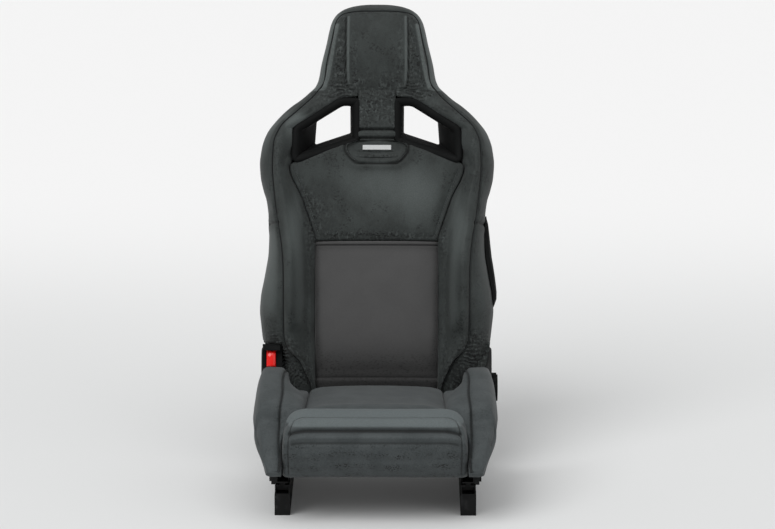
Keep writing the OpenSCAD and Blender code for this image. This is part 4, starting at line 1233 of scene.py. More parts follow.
@dataclass
class BackCover(Upholstery):
    """Upholstery of the backrest: bolsters, arms, headrest, neck, shoulder and lumbar pads.

    Attributes:
        form: Curves of the backrest.
        lean: Where backrest points lie.
        split_s: Seam between a bolster and its arm.
        head_s: Seam under the headrest.
        lumbar_half: Half width of the lumbar pad.
        lumbar_top: Seam over the lumbar pad, whose sewn lines are at hem_s and foot_s.
        neck_half: Half width of the neck pad.
        panel_half: Half width of the headrest's centre panel.
        waist_s: Crease across the bolsters.
        lumbar_fill: Front of the lumbar pad over s, as the other fills are of theirs.
        patch_half: Half width of the patch under the neck, over s.
    """

    form: BackForm = field(default_factory=BackForm)
    lean: Lean = field(default_factory=lambda: Lean(185, 190))
    split_s: float = 516.2
    head_s: float = 689.2
    lumbar_half: float = 142.2
    lumbar_top: float = 336.8
    hem_s: float = 327.0
    foot_s: float = 21.0
    neck_half: float = 43.6
    panel_half: float = 73.0
    waist_s: float = 377.0
    lumbar_fill: Table = Table(((-26, 20), (-20, 30), (-8, 39), (4, 46), (14, 49), (24, 48), (60, 58),
                                (140, 69), (240, 68), (300, 62), (320, 60), (331, 62.5),
                                (337, 60)))
    shoulder_fill: Table = Table(((337, 56), (343, 59), (360, 62), (450, 60), (520, 60), (558, 58),
                                  (567, 56)))
    neck_fill: Table = Table(((567, 53), (571, 57), (577, 53), (583, 60), (590, 60.5), (597, 51.5),
                              (604, 58.5), (660, 60), (689, 60)))
    patch_half: Table = Table(((520, 40), (524, 50), (534, 61), (548, 69), (557, 70), (564, 62), (571, 44)))
    patch_fill: Table = Table(((520, 59.5), (526, 63.5), (531, 65), (536, 63), (541, 59.8), (546, 61.6),
                               (550, 62.2), (561, 62.2), (567, 61.8), (571, 60)))

    def build(self) -> None:
        """Makes every pad of the backrest with its seams."""
        outer = {side: self.side_pieces(side) for side in Side}
        border = self.headrest()
        self.middle_pads()
        self.patch()
        for side in Side:
            self.outer_piping(side, outer[side], border)

    def back_path(self, skin: Skin, path: Sequence[Sequence[float]], steps: int = 8) -> Array:
        """A smooth line over the front of a backrest pad, given in (x, s)."""
        return skin.trace(smooth_path(path, steps), (0, 2), (1, 1))

    def level(self, skin: Skin, s: float, stops: Sequence[float]) -> Array:
        """A level line over the front of a backrest pad, through the given x."""
        return self.back_path(skin, [[x, s] for x in stops])

    def side_pieces(self, side: Side) -> Array:
        """Makes one bolster and the arm above it, and returns their outer seam."""
        form, k = self.form, float(side.value)
        na, nb, _ = form.columns
        flip = np.array([k, 1.0, 1.0])
        low_rows = stepped((-24, self.split_s), 2.4)
        rings = [form.side_ring(s, side) for s in low_rows]
        first = rings[0].mean(axis=0)
        for share, down in ((0.93, 2.5), (0.75, 4.0)):
            rings.insert(0, mix(first, rings[-len(low_rows)], share) - np.array([0, 0, down]))
        low = Skin(np.array(rings) * flip, self.lean)
        low.inflate(3.0, np.s_[3:-2, 2 : na - 1], np.s_[3:-2, na + 2 : na + nb - 4])
        seam = low.points[2:, na].copy()
        crease = int(np.argmin(np.abs(low.points[:, 0, 2] - self.waist_s)))
        low.groove(seam, 3.4, 3.0, 0.8)
        low.groove(low.points[crease, na : na + nb - 3], 4.0, 3.2, 1.2)
        # Wrinkles, with shade painted in their folds and darker pile over them.
        low.crumple((k * 222, 60, 70), (30, 60, 36), 4.0, 5, (k * 0.2, 0.2, 1.0), 9)
        low.crumple((k * 200, 50, 22), (36, 60, 34), 3.0, 9, (k, 0.2, 0.6), 8)
        low.crumple((k * 238, 70, 110), (22, 60, 24), 2.2, 10, (k * 0.2, 0.1, 1.0), 8)
        low.crumple((k * 243, 60, 388), (14, 40, 12), 1.4, 11, (k * 0.3, 0.2, 1.0), 9)
        low.crumple((k * 150, 62, 352), (12, 30, 40), 1.6, 12, (k * 0.4, 0.0, 1.0), 11)
        # Painted shade on the lower outer bolster, along the upper outer seam and on the inner wall; painted
        # light on the crest, the slope inside it and the outer side, more on the left.
        low.lay_nap((k * 225, 60, 40), (60, 90, 70), 0.9)
        low.lay_nap((k * 226, 60, 480), (10, 60, 70), 0.5)
        low.lay_nap((k * 190, 90, 360), (22, 60, 90), -0.65)
        low.lay_nap((k * 246, 60, 290), (36, 90, 150), -0.55 + 0.2 * k)
        low.lay_nap((k * 178, 90, 210), (16, 40, 110), -0.45)
        low.lay_nap((k * 158, 60, 200), (8, 60, 160), 0.5)
        self.cover(low, f"back_bolster_cover_{side.word}", Kind.NAPPED, "backrest",
                   [f"back_bolster_{side.word}"])

        high_rows = stepped((self.split_s, self.head_s), 2.0, form.arm_top_x.at)
        high = Skin(np.array([form.side_ring(s, side) for s in high_rows]) * flip, self.lean)
        high.inflate(2.0, np.s_[2:-2, 3 : na - 1], np.s_[2:-2, na + 2 : na + nb - 4])
        seam = np.vstack([seam, high.points[1:, na]])
        high.groove(high.points[:, na], 3.4, 3.0, 0.8)
        high.crumple((k * 84, 60, 682), (38, 40, 13), 3.0, 21, (k * 0.3, 0.0, 1.0), 9)
        high.crumple((k * 150, 66, 640), (30, 40, 18), 1.2, 22, (k * 0.6, 0.0, 1.0), 10)
        # Painted shade above the belt opening and along the outer seam; painted light beside the opening,
        # more on the left, and on the outer side.
        high.lay_nap((k * 90, 60, 676), (50, 60, 18), 0.6)
        high.lay_nap((k * 222, 60, 560), (10, 60, 60), 0.5)
        high.lay_nap((k * 190, 70, 612), (44, 60, 34), -0.65 + 0.35 * k)
        high.lay_nap((k * 250, 40, 580), (28, 40, 80), -0.6)
        self.cover(high, f"shoulder_arm_cover_{side.word}", Kind.NAPPED, "backrest",
                   [f"shoulder_arm_{side.word}"])
        return seam

    def headrest(self) -> Array:
        """Makes the headrest with its centre panel, and returns its border seam."""
        form = self.form
        rows = stepped((self.head_s, 898.6), 2.0, lambda s: form.half.at(s) * 0.8 + form.head_t.at(s) * 0.5)
        rings = []
        for s in rows:
            h = float(form.half.at(s))
            across = h * np.sin(np.linspace(-math.pi / 2, math.pi / 2, 97))
            front = np.stack([across, form.head_front(across, s)], 1)
            back = even(np.array([[h, -4], [0.98 * h, -8], [-0.98 * h, -8], [-h, -4]]), 28)[:-1]
            ring = np.vstack([front[:-1], back])
            rings.append(np.column_stack([ring, np.full(len(ring), s)]))
        head = Skin(np.array(rings), self.lean)
        head.inflate(3.0, np.s_[3:-12, 8:89])
        border = [[-140, 689], [-127, 704], [-122, 721], [-118, 754], [-107, 804], [-100, 837],
                  [-95, 854], [-84, 867], [-66, 873], [-36, 876], [0, 876.5], [36, 876], [66, 873],
                  [84, 867], [95, 854], [100, 837], [107, 804], [118, 754], [122, 721],
                  [127, 704], [140, 689]]
        path = self.back_path(head, border)
        head.groove(path, 3.2, 3.2, 0.9)
        strokes = []
        for k in (-1, 1):
            lines = [[k * 62, 689], [k * 70, 700], [k * self.panel_half, 730],
                     [k * self.panel_half, 800], [k * 72, 859]]
            seam = self.back_path(head, lines)
            head.groove(seam, 2.4, 3.0, 1.0)
            self.seams.stitches("backrest", self.lifted(head, self.offset_line(seam, k * 4.0), 0.1))
            ridge = self.back_path(head, [[k * 122, 696], [k * 110, 740], [k * 101, 790],
                                          [k * 93, 840]])
            head.groove(ridge, 4.4, -4.6, 0.0)
            for beside in (-5.5, 5.5):
                head.groove(self.offset_line(seam, beside), 2.6, -1.3, 0.0)
            head.crumple((k * 78, 60, 694), (34, 40, 12), 2.6, 31, (0.2, 0.0, 1.0), 9)
            head.crumple((k * 92, 60, 740), (14, 40, 60), 1.4, 32, (0.3, 0.0, 1.0), 13)
            # Darker, flecked pile on the side panels and beside the centre panel.
            head.lay_nap((k * 92, 60, 770), (20, 60, 90), 0.8)
            head.lay_nap((k * 56, 60, 770), (16, 60, 95), 0.5)
            # Painted highlights along the ridge and along one side of each seam, painted shade along the
            # other side.
            strokes += [(ridge, 5.6, -2.4), (self.offset_line(seam, k * 7.0), 5.0, 0.8),
                        (self.offset_line(seam, -k * 6.0), 5.0, -1.3)]
        for line, reach, amount in strokes:
            head.brush(line, reach, amount)
        # The border is painted lighter, less so towards the top, where light from above already falls.
        away = np.where(head.points[..., 1] < 52, 1.0, 0.0)
        head.nap = head.nap * (1 - away) - away * (0.9 - 0.8 * ramp(862, 880, head.points[..., 2]))
        # Darker, flecked pile at the foot of the headrest.
        head.lay_nap((0, 60, 690), (70, 60, 50), 0.6)
        self.cover(head, "headrest_cover", Kind.NAPPED, "backrest", ["headrest_pad"])
        return path

    def lifted(self, skin: Skin, path: Array, by: float) -> Array:
        """A path in the seat's frame, raised over a backrest skin."""
        traced = skin.trace(path[:, [0, 2]], (0, 2), (1, 1))
        traced[:, 1] += by
        return self.lean(traced)

    @staticmethod
    def offset_line(path: Array, by: float) -> Array:
        """A path moved sideways in (x, s)."""
        run = np.gradient(path[:, [0, 2]], axis=0)
        run /= np.linalg.norm(run, axis=1, keepdims=True) + 1e-9
        out = path.copy()
        out[:, 0] += run[:, 1] * by
        out[:, 2] -= run[:, 0] * by
        return out

    def middle_pads(self) -> None:
        """Makes the lumbar, shoulder and neck pads between the bolsters."""
        form = self.form

        def lumbar_front(x: Array, s: Array) -> Array:
            """Front of the lumbar pad."""
            u = np.abs(x) / self.lumbar_half
            return self.lumbar_fill.at(s) - 8 * u**2 - 3 * u**14

        pad = Pad(lambda s: np.full(np.shape(s), self.lumbar_half), lumbar_front, form.pad_back,
                  (-26, self.lumbar_top), (10.0, 7.0))
        lumbar = pad.skin(self.lean)
        lumbar.inflate(4.0, pad.free())
        lumbar.crumple((0, 58, 12), (150, 40, 12), 1.8, 41, (1.0, 0.0, 0.2), 9)
        stops = (-140, -70, 0, 70, 140)
        lumbar.groove(self.level(lumbar, self.hem_s, stops), 2.0, 2.6, 0.7)
        lumbar.groove(self.level(lumbar, self.foot_s, stops), 3.0, 2.0, 0.8)
        # Painted shade over the lower lumbar pad, darkest at its foot, and darker, flecked cloth along its
        # sides.
        lumbar.lay_nap((0, 50, 0), (300, 60, 90), 0.95)
        lumbar.lay_nap((0, 50, 6), (300, 60, 26), 0.4)
        for k in (-1, 1):
            lumbar.lay_nap((k * 146, 50, 170), (14, 60, 200), 0.45)
        lumbar.lay_nap((-20, 60, 230), (90, 60, 70), -0.2)
        self.cover(lumbar, "lumbar_cover", Kind.WOVEN, "backrest", ["lumbar_pad"])

        def shoulder_front(x: Array, s: Array) -> Array:
            """Front of the shoulder pad."""
            u = np.abs(x) / form.shoulder.at(s)
            mid = self.shoulder_fill.at(s)
            edge = np.minimum(form.seam_t.at(s), mid + 8)
            return mix(mid, edge, u**2.4)

        pad = Pad(form.shoulder.at, shoulder_front, form.pad_back, (self.lumbar_top + 0.5, 569.0),
                  (6.0, 4.0))
        shoulder = pad.skin(self.lean)
        shoulder.inflate(4.0, pad.free())
        shoulder.crumple((0, 60, 352), (150, 40, 8), 1.6, 42, (1.0, 0.0, 0.35), 8)
        for k in (-1, 1):
            line = self.back_path(shoulder, [[k * 134, 350], [k * 150, 400], [k * 164, 440],
                                             [k * 180, 480], [k * 190, 502]])
            shoulder.groove(line, 2.4, 0.8, 0.2)
            self.seams.stitches("backrest", self.lifted(shoulder, line, 0.25))
        rim = self.back_path(shoulder, [[-73, 566], [-73.5, 548], [-65, 533], [-53, 521.5], [-42, 517],
                                        [0, 516.5], [42, 517], [53, 521.5], [65, 533], [73.5, 548],
                                        [73, 566]])
        shoulder.groove(rim, 2.6, 2.4, 0.9)
        # Painted light on the middle and right of the shoulder pad; painted shade along its foot and on its
        # left.
        shoulder.lay_nap((0, 60, 470), (120, 60, 60), -0.5)
        shoulder.lay_nap((0, 60, 346), (180, 60, 9), 0.5)
        shoulder.lay_nap((112, 60, 430), (64, 60, 80), -0.45)
        shoulder.lay_nap((-130, 60, 420), (50, 60, 60), 0.5)
        self.cover(shoulder, "shoulder_cover", Kind.NAPPED, "backrest", ["shoulder_pad"])

        def neck_front(x: Array, s: Array) -> Array:
            """Front of the neck pad."""
            return self.neck_fill.at(s) - 3 * (x / self.neck_half) ** 2 * ramp(689, 650, s)

        pad = Pad(lambda s: np.full(np.shape(s), self.neck_half), neck_front, form.pad_back,
                  (567.2, self.head_s), (2.5, 1.2), rounded_top=False, pitch=1.5, front_columns=56)
        neck = pad.skin(self.lean)
        neck.inflate(2.0, pad.free())
        for s in (577.0, 597.0):
            neck.groove(self.level(neck, s, (-42, -20, 0, 20, 42)), 2.2, 1.6, 0.4)
        neck.crumple((0, 60, 668), (40, 40, 20), 1.0, 43, (0.3, 0.0, 1.0), 10)
        # Darker, flecked pile over the upper neck pad.
        neck.lay_nap((0, 60, 650), (80, 60, 52), 0.7)
        self.cover(neck, "neck_cover", Kind.NAPPED, "backrest", ["neck_pad"])

    def patch(self) -> None:
        """Makes the patch under the neck, with two soft rolls and a pressed line between."""
        def front(x: Array, s: Array) -> Array:
            """Front of the patch."""
            return self.patch_fill.at(s) - 2.5 * (np.abs(x) / self.patch_half.at(s)) ** 4

        pad = Pad(self.patch_half.at, front, lambda s: 57.5, (520, 571), (5.0, 3.0), pitch=1.0,
                  front_columns=64, shade=0.9)
        skin = pad.skin(self.lean)
        skin.inflate(0.5, pad.free())
        for s, reach in ((541.0, 64), (529.5, 54)):
            skin.groove(self.level(skin, s, np.linspace(-reach, reach, 9)), 1.9, 2.2, 0.5)
        # Painted shade along the pressed line between the rolls.
        skin.lay_nap((0, 60, 540), (60, 60, 6), 0.7)
        self.cover(skin, "neck_patch", Kind.NAPPED, "backrest", ["tag_patch"], 0.5)

    def outer_piping(self, side: Side, seam: Array, border: Array) -> None:
        """Makes the piping that runs up a side and round the headrest.

        Args:
            side: The side.
            seam: Outer seam of its bolster and arm.
            border: Border seam of the headrest.
        """
        half = border[border[:, 0] * side.value >= -0.01]
        turn = np.arctan2(half[:, 2] - 780, np.abs(half[:, 0]) + 1e-6)
        half = half[np.argsort(turn)]
        whole = np.vstack([seam[seam[:, 2] < 686][::2], half[half[:, 2] > 692]])
        whole = smooth_path(whole[::4], 3)
        self.seams.piping("backrest", self.lean(whole))


def lying(p: Array) -> Array:
    """Turns (x, z, y) points of a lying pad into (x, y, z) points."""
    p = np.asarray(p, float)
    return np.stack([p[..., 0], p[..., 2], p[..., 1]], axis=-1)


@dataclass(frozen=True)
class CushionForm:
    """Curves of the cushion, as (y, value) knots, and of its front roll.

    Attributes:
        pivot: Recliner axis, as (y, z), with the cushion's rear end round it at arc_r.
        half: Half width of the cushion, less the tuck of a bolster's side.
        columns: Points in the top, side and under part of a ring.
        roll: Section of the front roll and apron, as (y, z).
        fall: How far the roll drops over x, as draw is how far it draws back.
        corner: Where a bolster's corner stops the roll, as (y, x).
        panel_top: Top of the centre panel.
    """

    pivot: tuple[float, float] = (185.0, 190.0)
    arc_r: float = 150.0
    half: float = 271.0
    top: Table = Table(((-326, 138), (-318, 162), (-290, 196), (-262, 214), (-242, 228), (-228, 256),
                        (-205, 265), (-150, 274), (-90, 282), (-40, 286.5), (20, 281), (58, 268)))
    inner: Table = Table(((-326, 207.5), (-292, 207), (-282, 205), (-270, 196), (-262, 180),
                          (-255, 162), (-245, 160.5), (58, 154)))
    inner_z: Table = Table(((-326, 134), (-318, 158), (-290, 188), (-270, 206), (-262, 216),
                            (-255, 238), (-248, 250), (-200, 251), (-20, 229), (58, 221)))
    crest: Table = Table(((-326, 213), (-290, 217), (-242, 219), (-228, 217), (-150, 213),
                          (-60, 216), (20, 225), (58, 227)))
    tuck: Table = Table(((-326, 39), (-318, 29), (-290, 15), (-242, 5), (-180, 0), (-40, 2), (58, 9)))
    skirt: Table = Table(((-326, 130), (-318, 119), (-300, 116), (-250, 117), (-150, 122), (0, 132),
                          (58, 140)))
    columns: tuple[int, int, int] = (22, 56, 14)
    roll: Knots = ((-256, 258), (-266, 261), (-280, 258), (-295, 250), (-309, 248), (-321, 240),
                   (-328, 228), (-331, 222), (-336, 213), (-334, 190), (-326, 160), (-314, 132),
                   (-301, 114), (-292, 112), (-284, 118), (-272, 140), (-268, 190), (-260, 208))
    fall: Table = Table(((0, 0), (150, 0), (172, 4), (184, 10), (193, 19), (199, 32), (203, 50),
                         (205, 70)))
    draw: Table = Table(((0, 0), (184, 0), (199, 5), (205, 16)))
    corner: Knots = ((-247.5, 160.8), (-250, 161.2), (-258, 169), (-268, 192.5), (-282, 205))
    panel_top: Table = Table(((-254, 246), (-246, 258), (-200, 252), (-20, 233), (84, 219),
                              (98, 213), (108, 194)))

    def bolster_ring(self, y: float) -> Array:
        """Closed ring of a cushion bolster at y, as (x, y, z) points."""
        xi, zi, zt = self.inner.at(y), self.inner_z.at(y), self.top.at(y)
        xc, xw, zs = self.crest.at(y), self.half - self.tuck.at(y), self.skirt.at(y)
        back = float(ramp(-252, -245, y))
        notch = mix(mix(zs + 1, 142.0, float(ramp(-294, -288, y))), 152.5, back)
        edge = mix(214.0, 231.0, back)
        low = min(notch, zi - 6)
        flat = float(ramp(-110, 30, y))
        top = [[xi, low], [xi, mix(low, zi, 0.6)], [xi + 2, zi - 2],
               [mix(mix(xi, xc, 0.45), 190.0, flat), mix(zi, zt, mix(0.5, 0.14, flat))],
               [mix(xc - 4, 205.0, flat), zt - mix(5, 7, flat)]]
        side = [[mix(xc, xw, 0.35), zt], [mix(xc, xw, 0.75), zt - 3], [xw - 5, mix(zs, zt, 0.88)],
                [xw, mix(zs, zt, 0.64)], [mix(xw, 240, 0.35), mix(zs, zt, 0.43)],
                [mix(xw, 240, 0.62), mix(zs, zt, 0.26)], [mix(xw, 240, 0.92), mix(zs, zt, 0.09)],
                [max(edge + 2, 229), zs]]
        path = smooth_path(top + side)
        under = np.array([path[-1], [edge, min(zs + 2, notch - 0.2)], [edge, notch],
                          [mix(edge, xi, 0.5), min(notch, zi - 6)], path[0]])
        a, b, c = (even(part, n + 1)[:-1] for part, n in zip((path[:41], path[40:], under), self.columns))
        ring = np.vstack([a, b, c])
        return np.column_stack([ring[:, 0], np.full(len(ring), y), ring[:, 1]])

    def bent(self, ring: Array, share: float) -> Array:
        """A ring of the rear end, bent onto the arc round the recliner."""
        out = ring.copy()
        arc = self.pivot[0] - np.sqrt(self.arc_r**2 - (ring[:, 2] - self.pivot[1]) ** 2) - 1
        out[:, 1] = mix(ring[:, 1], arc + ring[:, 1] - 58, share)
        return out

    def roll_ring(self, x: float, profile: Array) -> Array:
        """Section of the front roll at x, as (x, y, z) points."""
        y = profile[:, 0] + self.draw.at(abs(x)) * ramp(-284, -296, profile[:, 0])
        if abs(x) > 160:
            at_y, at_x = zip(*self.corner)
            limit = float(np.interp(abs(x), at_x, at_y)) - 0.6
            y = np.where(y > limit, limit - (self.roll[0][0] - y) / 10, y)
        z = profile[:, 1] - self.fall.at(abs(x)) * np.clip((profile[:, 1] - 150) / 110, 0, 1)
        return np.column_stack([np.full(len(y), x), y, z])


@dataclass
class CushionCover(Upholstery):
    """Upholstery of the seat cushion: centre panel, front roll with its apron, two bolsters.

    Attributes:
        form: Curves of the cushion.
        roll_half: Half width of the front roll.
        roll_columns: Points round the front roll.
    """

    form: CushionForm = field(default_factory=CushionForm)
    roll_half: float = 205.0
    roll_columns: int = 168

    def build(self) -> None:
        """Makes every pad of the cushion with its seams."""
        self.centre()
        self.front_roll()
        for side in Side:
            self.bolster(side)

    def bolster(self, side: Side) -> None:
        """Makes one bolster with its crest seam."""
        form, k = self.form, float(side.value)
        rows = stepped((-326.5, 54), 2.6, form.top.at)
        rings = []
        for y in rows:
            ring = form.bolster_ring(y)
            if y > 0:
                ring = form.bent(ring, y / 54)
            if y < -318:
                ring = mix(ring, ring.mean(axis=0), 0.2 * ((-318 - y) / 8.5) ** 2)
            rings.append(ring * np.array([k, 1, 1]))
        middle = rings[-1].mean(axis=0)
        rings += [mix(middle, rings[-1], 0.97) + np.array([0, 2.5, 0]),
                  mix(middle, rings[-1], 0.9) + np.array([0, 4, 0])]
        skin = Skin(np.array(rings))
        na, nb, _ = form.columns
        skin.inflate(3.0, np.s_[3:-5, 5 : na - 1], np.s_[3:-5, na + 2 : na + nb - 5])
        seam = skin.points[4:-4, na].copy()
        skin.groove(skin.points[:, na], 3.2, 2.4, 0.7)
        lower = na + int(nb * 0.42)
        skin.groove(skin.points[30:-6, lower], 4.0, 1.2, 0.5)
        self.cover(skin, f"cushion_bolster_cover_{side.word}", Kind.SEAT, "seat",
                   [f"cushion_bolster_{side.word}"])
        self.seams.piping("seat", smooth_path(seam[::4], 3))

    def centre(self) -> None:
        """Makes the centre panel of the cushion."""
        form = self.form

        def half(y: Array) -> Array:
            """Half width of the panel."""
            return mix(152.0, 159.0, np.clip((108 - np.asarray(y, float)) / 363, 0, 1))

        def front(x: Array, y: Array) -> Array:
            """Top of the panel."""
            u = np.abs(x) / half(y)
            return form.panel_top.at(y) - 5 * u**2 - 3 * u**16

        pad = Pad(half, front, lambda y: mix(139.0, 196.0, (106 - y) / 348) + 0.3, (-254.5, 108),
                  (12.0, 8.0), rear_half=118.0)
        skin = pad.skin(lying)
        skin.inflate(5.0, pad.free())
        self.cover(skin, "cushion_centre_cover", Kind.SEAT, "seat", ["cushion_centre_pad"])

    def front_roll(self) -> None:
        """Makes the front roll, its sewn edge and the apron under it."""
        form = self.form
        profile = smooth_path([*form.roll, form.roll[0]], 8)
        profile = even(profile, self.roll_columns + 1)[:-1]
        half = stepped((0, self.roll_half), 2.6, form.fall.at)
        rows = np.concatenate([-half[:0:-1], half])
        rings = [form.roll_ring(x, profile) for x in rows]
        for end, run in ((0, 1), (-1, -1)):
            for i, share in enumerate((0.84, 0.93, 0.975)):
                ring = rings[end + run * i]
                rings[end + run * i] = mix(ring.mean(axis=0), ring, share)
        skin = Skin(np.array(rings))
        skin.inflate(2.5, np.s_[3:-3, 3 : int(self.roll_columns * 0.62)])
        line = [[-191, 122], [-191.5, 150], [-191.5, 185], [-190, 215], [-184, 236], [-172, 246],
                [-150, 250.5], [-100, 251], [0, 251], [100, 251], [150, 250.5], [172, 246],
                [184, 236], [190, 215], [191.5, 185], [191.5, 150], [191, 122]]
        path = skin.trace(smooth_path(line, 8), (0, 2), (1, -1))
        skin.groove(path, 2.4, 2.0, 0.8)
        for z, drop, reach, shape in ((227.0, 0.6, 188, (6.2, 6.4, 0.0)), (213.0, 0.5, 182, (5.0, -2.2, 0.0)),
                                      (201.0, 0.4, 182, (5.0, 1.6, 0.6))):
            fold = [[x, z - form.fall.at(abs(x)) * drop] for x in np.linspace(-reach, reach, 50)]
            skin.groove(skin.trace(np.array(fold), (0, 2), (1, -1)), *shape)
        # Painted shade in wavy bands over the apron below the roll, and painted light along the roll's top.
        z = skin.points[..., 2]
        bands = 0.62 + 0.3 * np.cos(z * 0.22 + 0.6 * np.sin(skin.points[..., 0] * 0.03))
        skin.nap = np.clip(bands * ramp(208, 190, z) - ramp(231, 238, z), -1, 1)
        self.cover(skin, "cushion_roll_cover", Kind.SEAT, "seat", ["cushion_front_roll"])


@dataclass
class Surround:
    """Moulded funnels round the belt openings.

    Attributes:
        finishes: The finishes of the seat.
        lean: Where backrest points lie.
        rim: Corners of the rim, as (x, s).
        rim_depth: How far forward each corner lies.
        rim_round: Rounding of each corner.
        hole: Corners of the hole, as (x, s).
        rear: Rear end of the funnel.
        count: Points round the funnel.
    """

    finishes: Finishes
    lean: Lean
    rim: Knots = ((45, 571), (45, 666), (84, 666), (190, 598), (193, 521))
    rim_depth: tuple[float, ...] = (57, 60, 63, 76, 73)
    rim_round: tuple[float, ...] = (8, 5, 14, 12, 15)
    hole: Knots = ((62, 602), (63, 670), (77, 670), (142, 630), (146, 574))
    rear: float = -52.0
    count: int = 200

    def loop(self, corners: Array, radii: Sequence[float], depth: Sequence[float]) -> Array:
        """A rounded loop of (x, t, s) points at depths that run from corner to corner."""
        flat = rounded_outline(corners, radii, self.count)
        c = np.asarray(corners, float)
        closed = np.vstack([c, c[:1]])
        lengths = np.concatenate([[0], np.cumsum(np.linalg.norm(np.diff(closed, axis=0), axis=1))])
        best, where = np.full(len(flat), 1e9), np.zeros(len(flat))
        for i in range(len(c)):
            run = closed[i + 1] - closed[i]
            u = np.clip(((flat - closed[i]) @ run) / (run @ run), 0, 1)
            gap = np.linalg.norm(flat - closed[i] - u[:, None] * run, axis=1)
            where = np.where(gap < best, lengths[i] + u * (lengths[i + 1] - lengths[i]), where)
            best = np.minimum(best, gap)
        deep = np.interp(where, lengths, [*depth, depth[0]])
        return np.column_stack([flat[:, 0], deep, flat[:, 1]])

    def rings(self) -> Array:
        """Rings of the right funnel: over its lip, down its inside and up its outside."""
        out = self.loop(np.array(self.rim), self.rim_round, self.rim_depth)
        hole = self.loop(np.array(self.hole), (5,) * 5, (self.rear,) * 5)

        def lip(by: float, down: float) -> Array:
            """The rim moved outwards and down."""
            edge = offset_outline(out[:, [0, 2]], by)
            return np.column_stack([edge[:, 0], out[:, 1] - down, edge[:, 1]])

        lips = [lip(5.0, 12.0), lip(6.2, 7.5), lip(5.4, 3.4), lip(3.0, 0.9), lip(0.2, 0.0),
                lip(-3.0, 0.3), lip(-6.4, 1.8), lip(-9.6, 4.8), lip(-12.4, 9.6)]
        inner = [mix(lips[-1], hole, u) + self.waist(lips[-1], hole, u)
                 for u in (0.06, 0.14, 0.26, 0.4, 0.55, 0.7, 0.85, 0.95, 1.0)]
        wall = offset_outline(hole[:, [0, 2]], 3.0)
        foot = np.column_stack([wall[:, 0], hole[:, 1], wall[:, 1]])
        outer = [mix(foot, lips[0], u) for u in (0.0, 0.25, 0.5, 0.75)]
        return np.array([*lips, *inner, *outer]).transpose(1, 0, 2)

    def build(self) -> None:
        """Makes both funnels."""
        rings = self.rings()
        for side in Side:
            skin = Skin(rings * np.array([side.value, 1, 1]), self.lean, looped=True)
            obj = skin.build(f"belt_opening_surround_{side.word}")
            dress(obj, self.finishes.of("soft_plastic"), "backrest")
            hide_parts(f"belt_bezel_{side.word}")

    @staticmethod
    def waist(a: Array, b: Array, u: float) -> Array:
        """Slight inward bow of the funnel between its rim and its hole."""
        middle = (a + b).mean(axis=0) / 2
        run = (middle - (a + b) / 2) * np.array([1, 0, 1])
        return run * 0.05 * math.sin(math.pi * u)


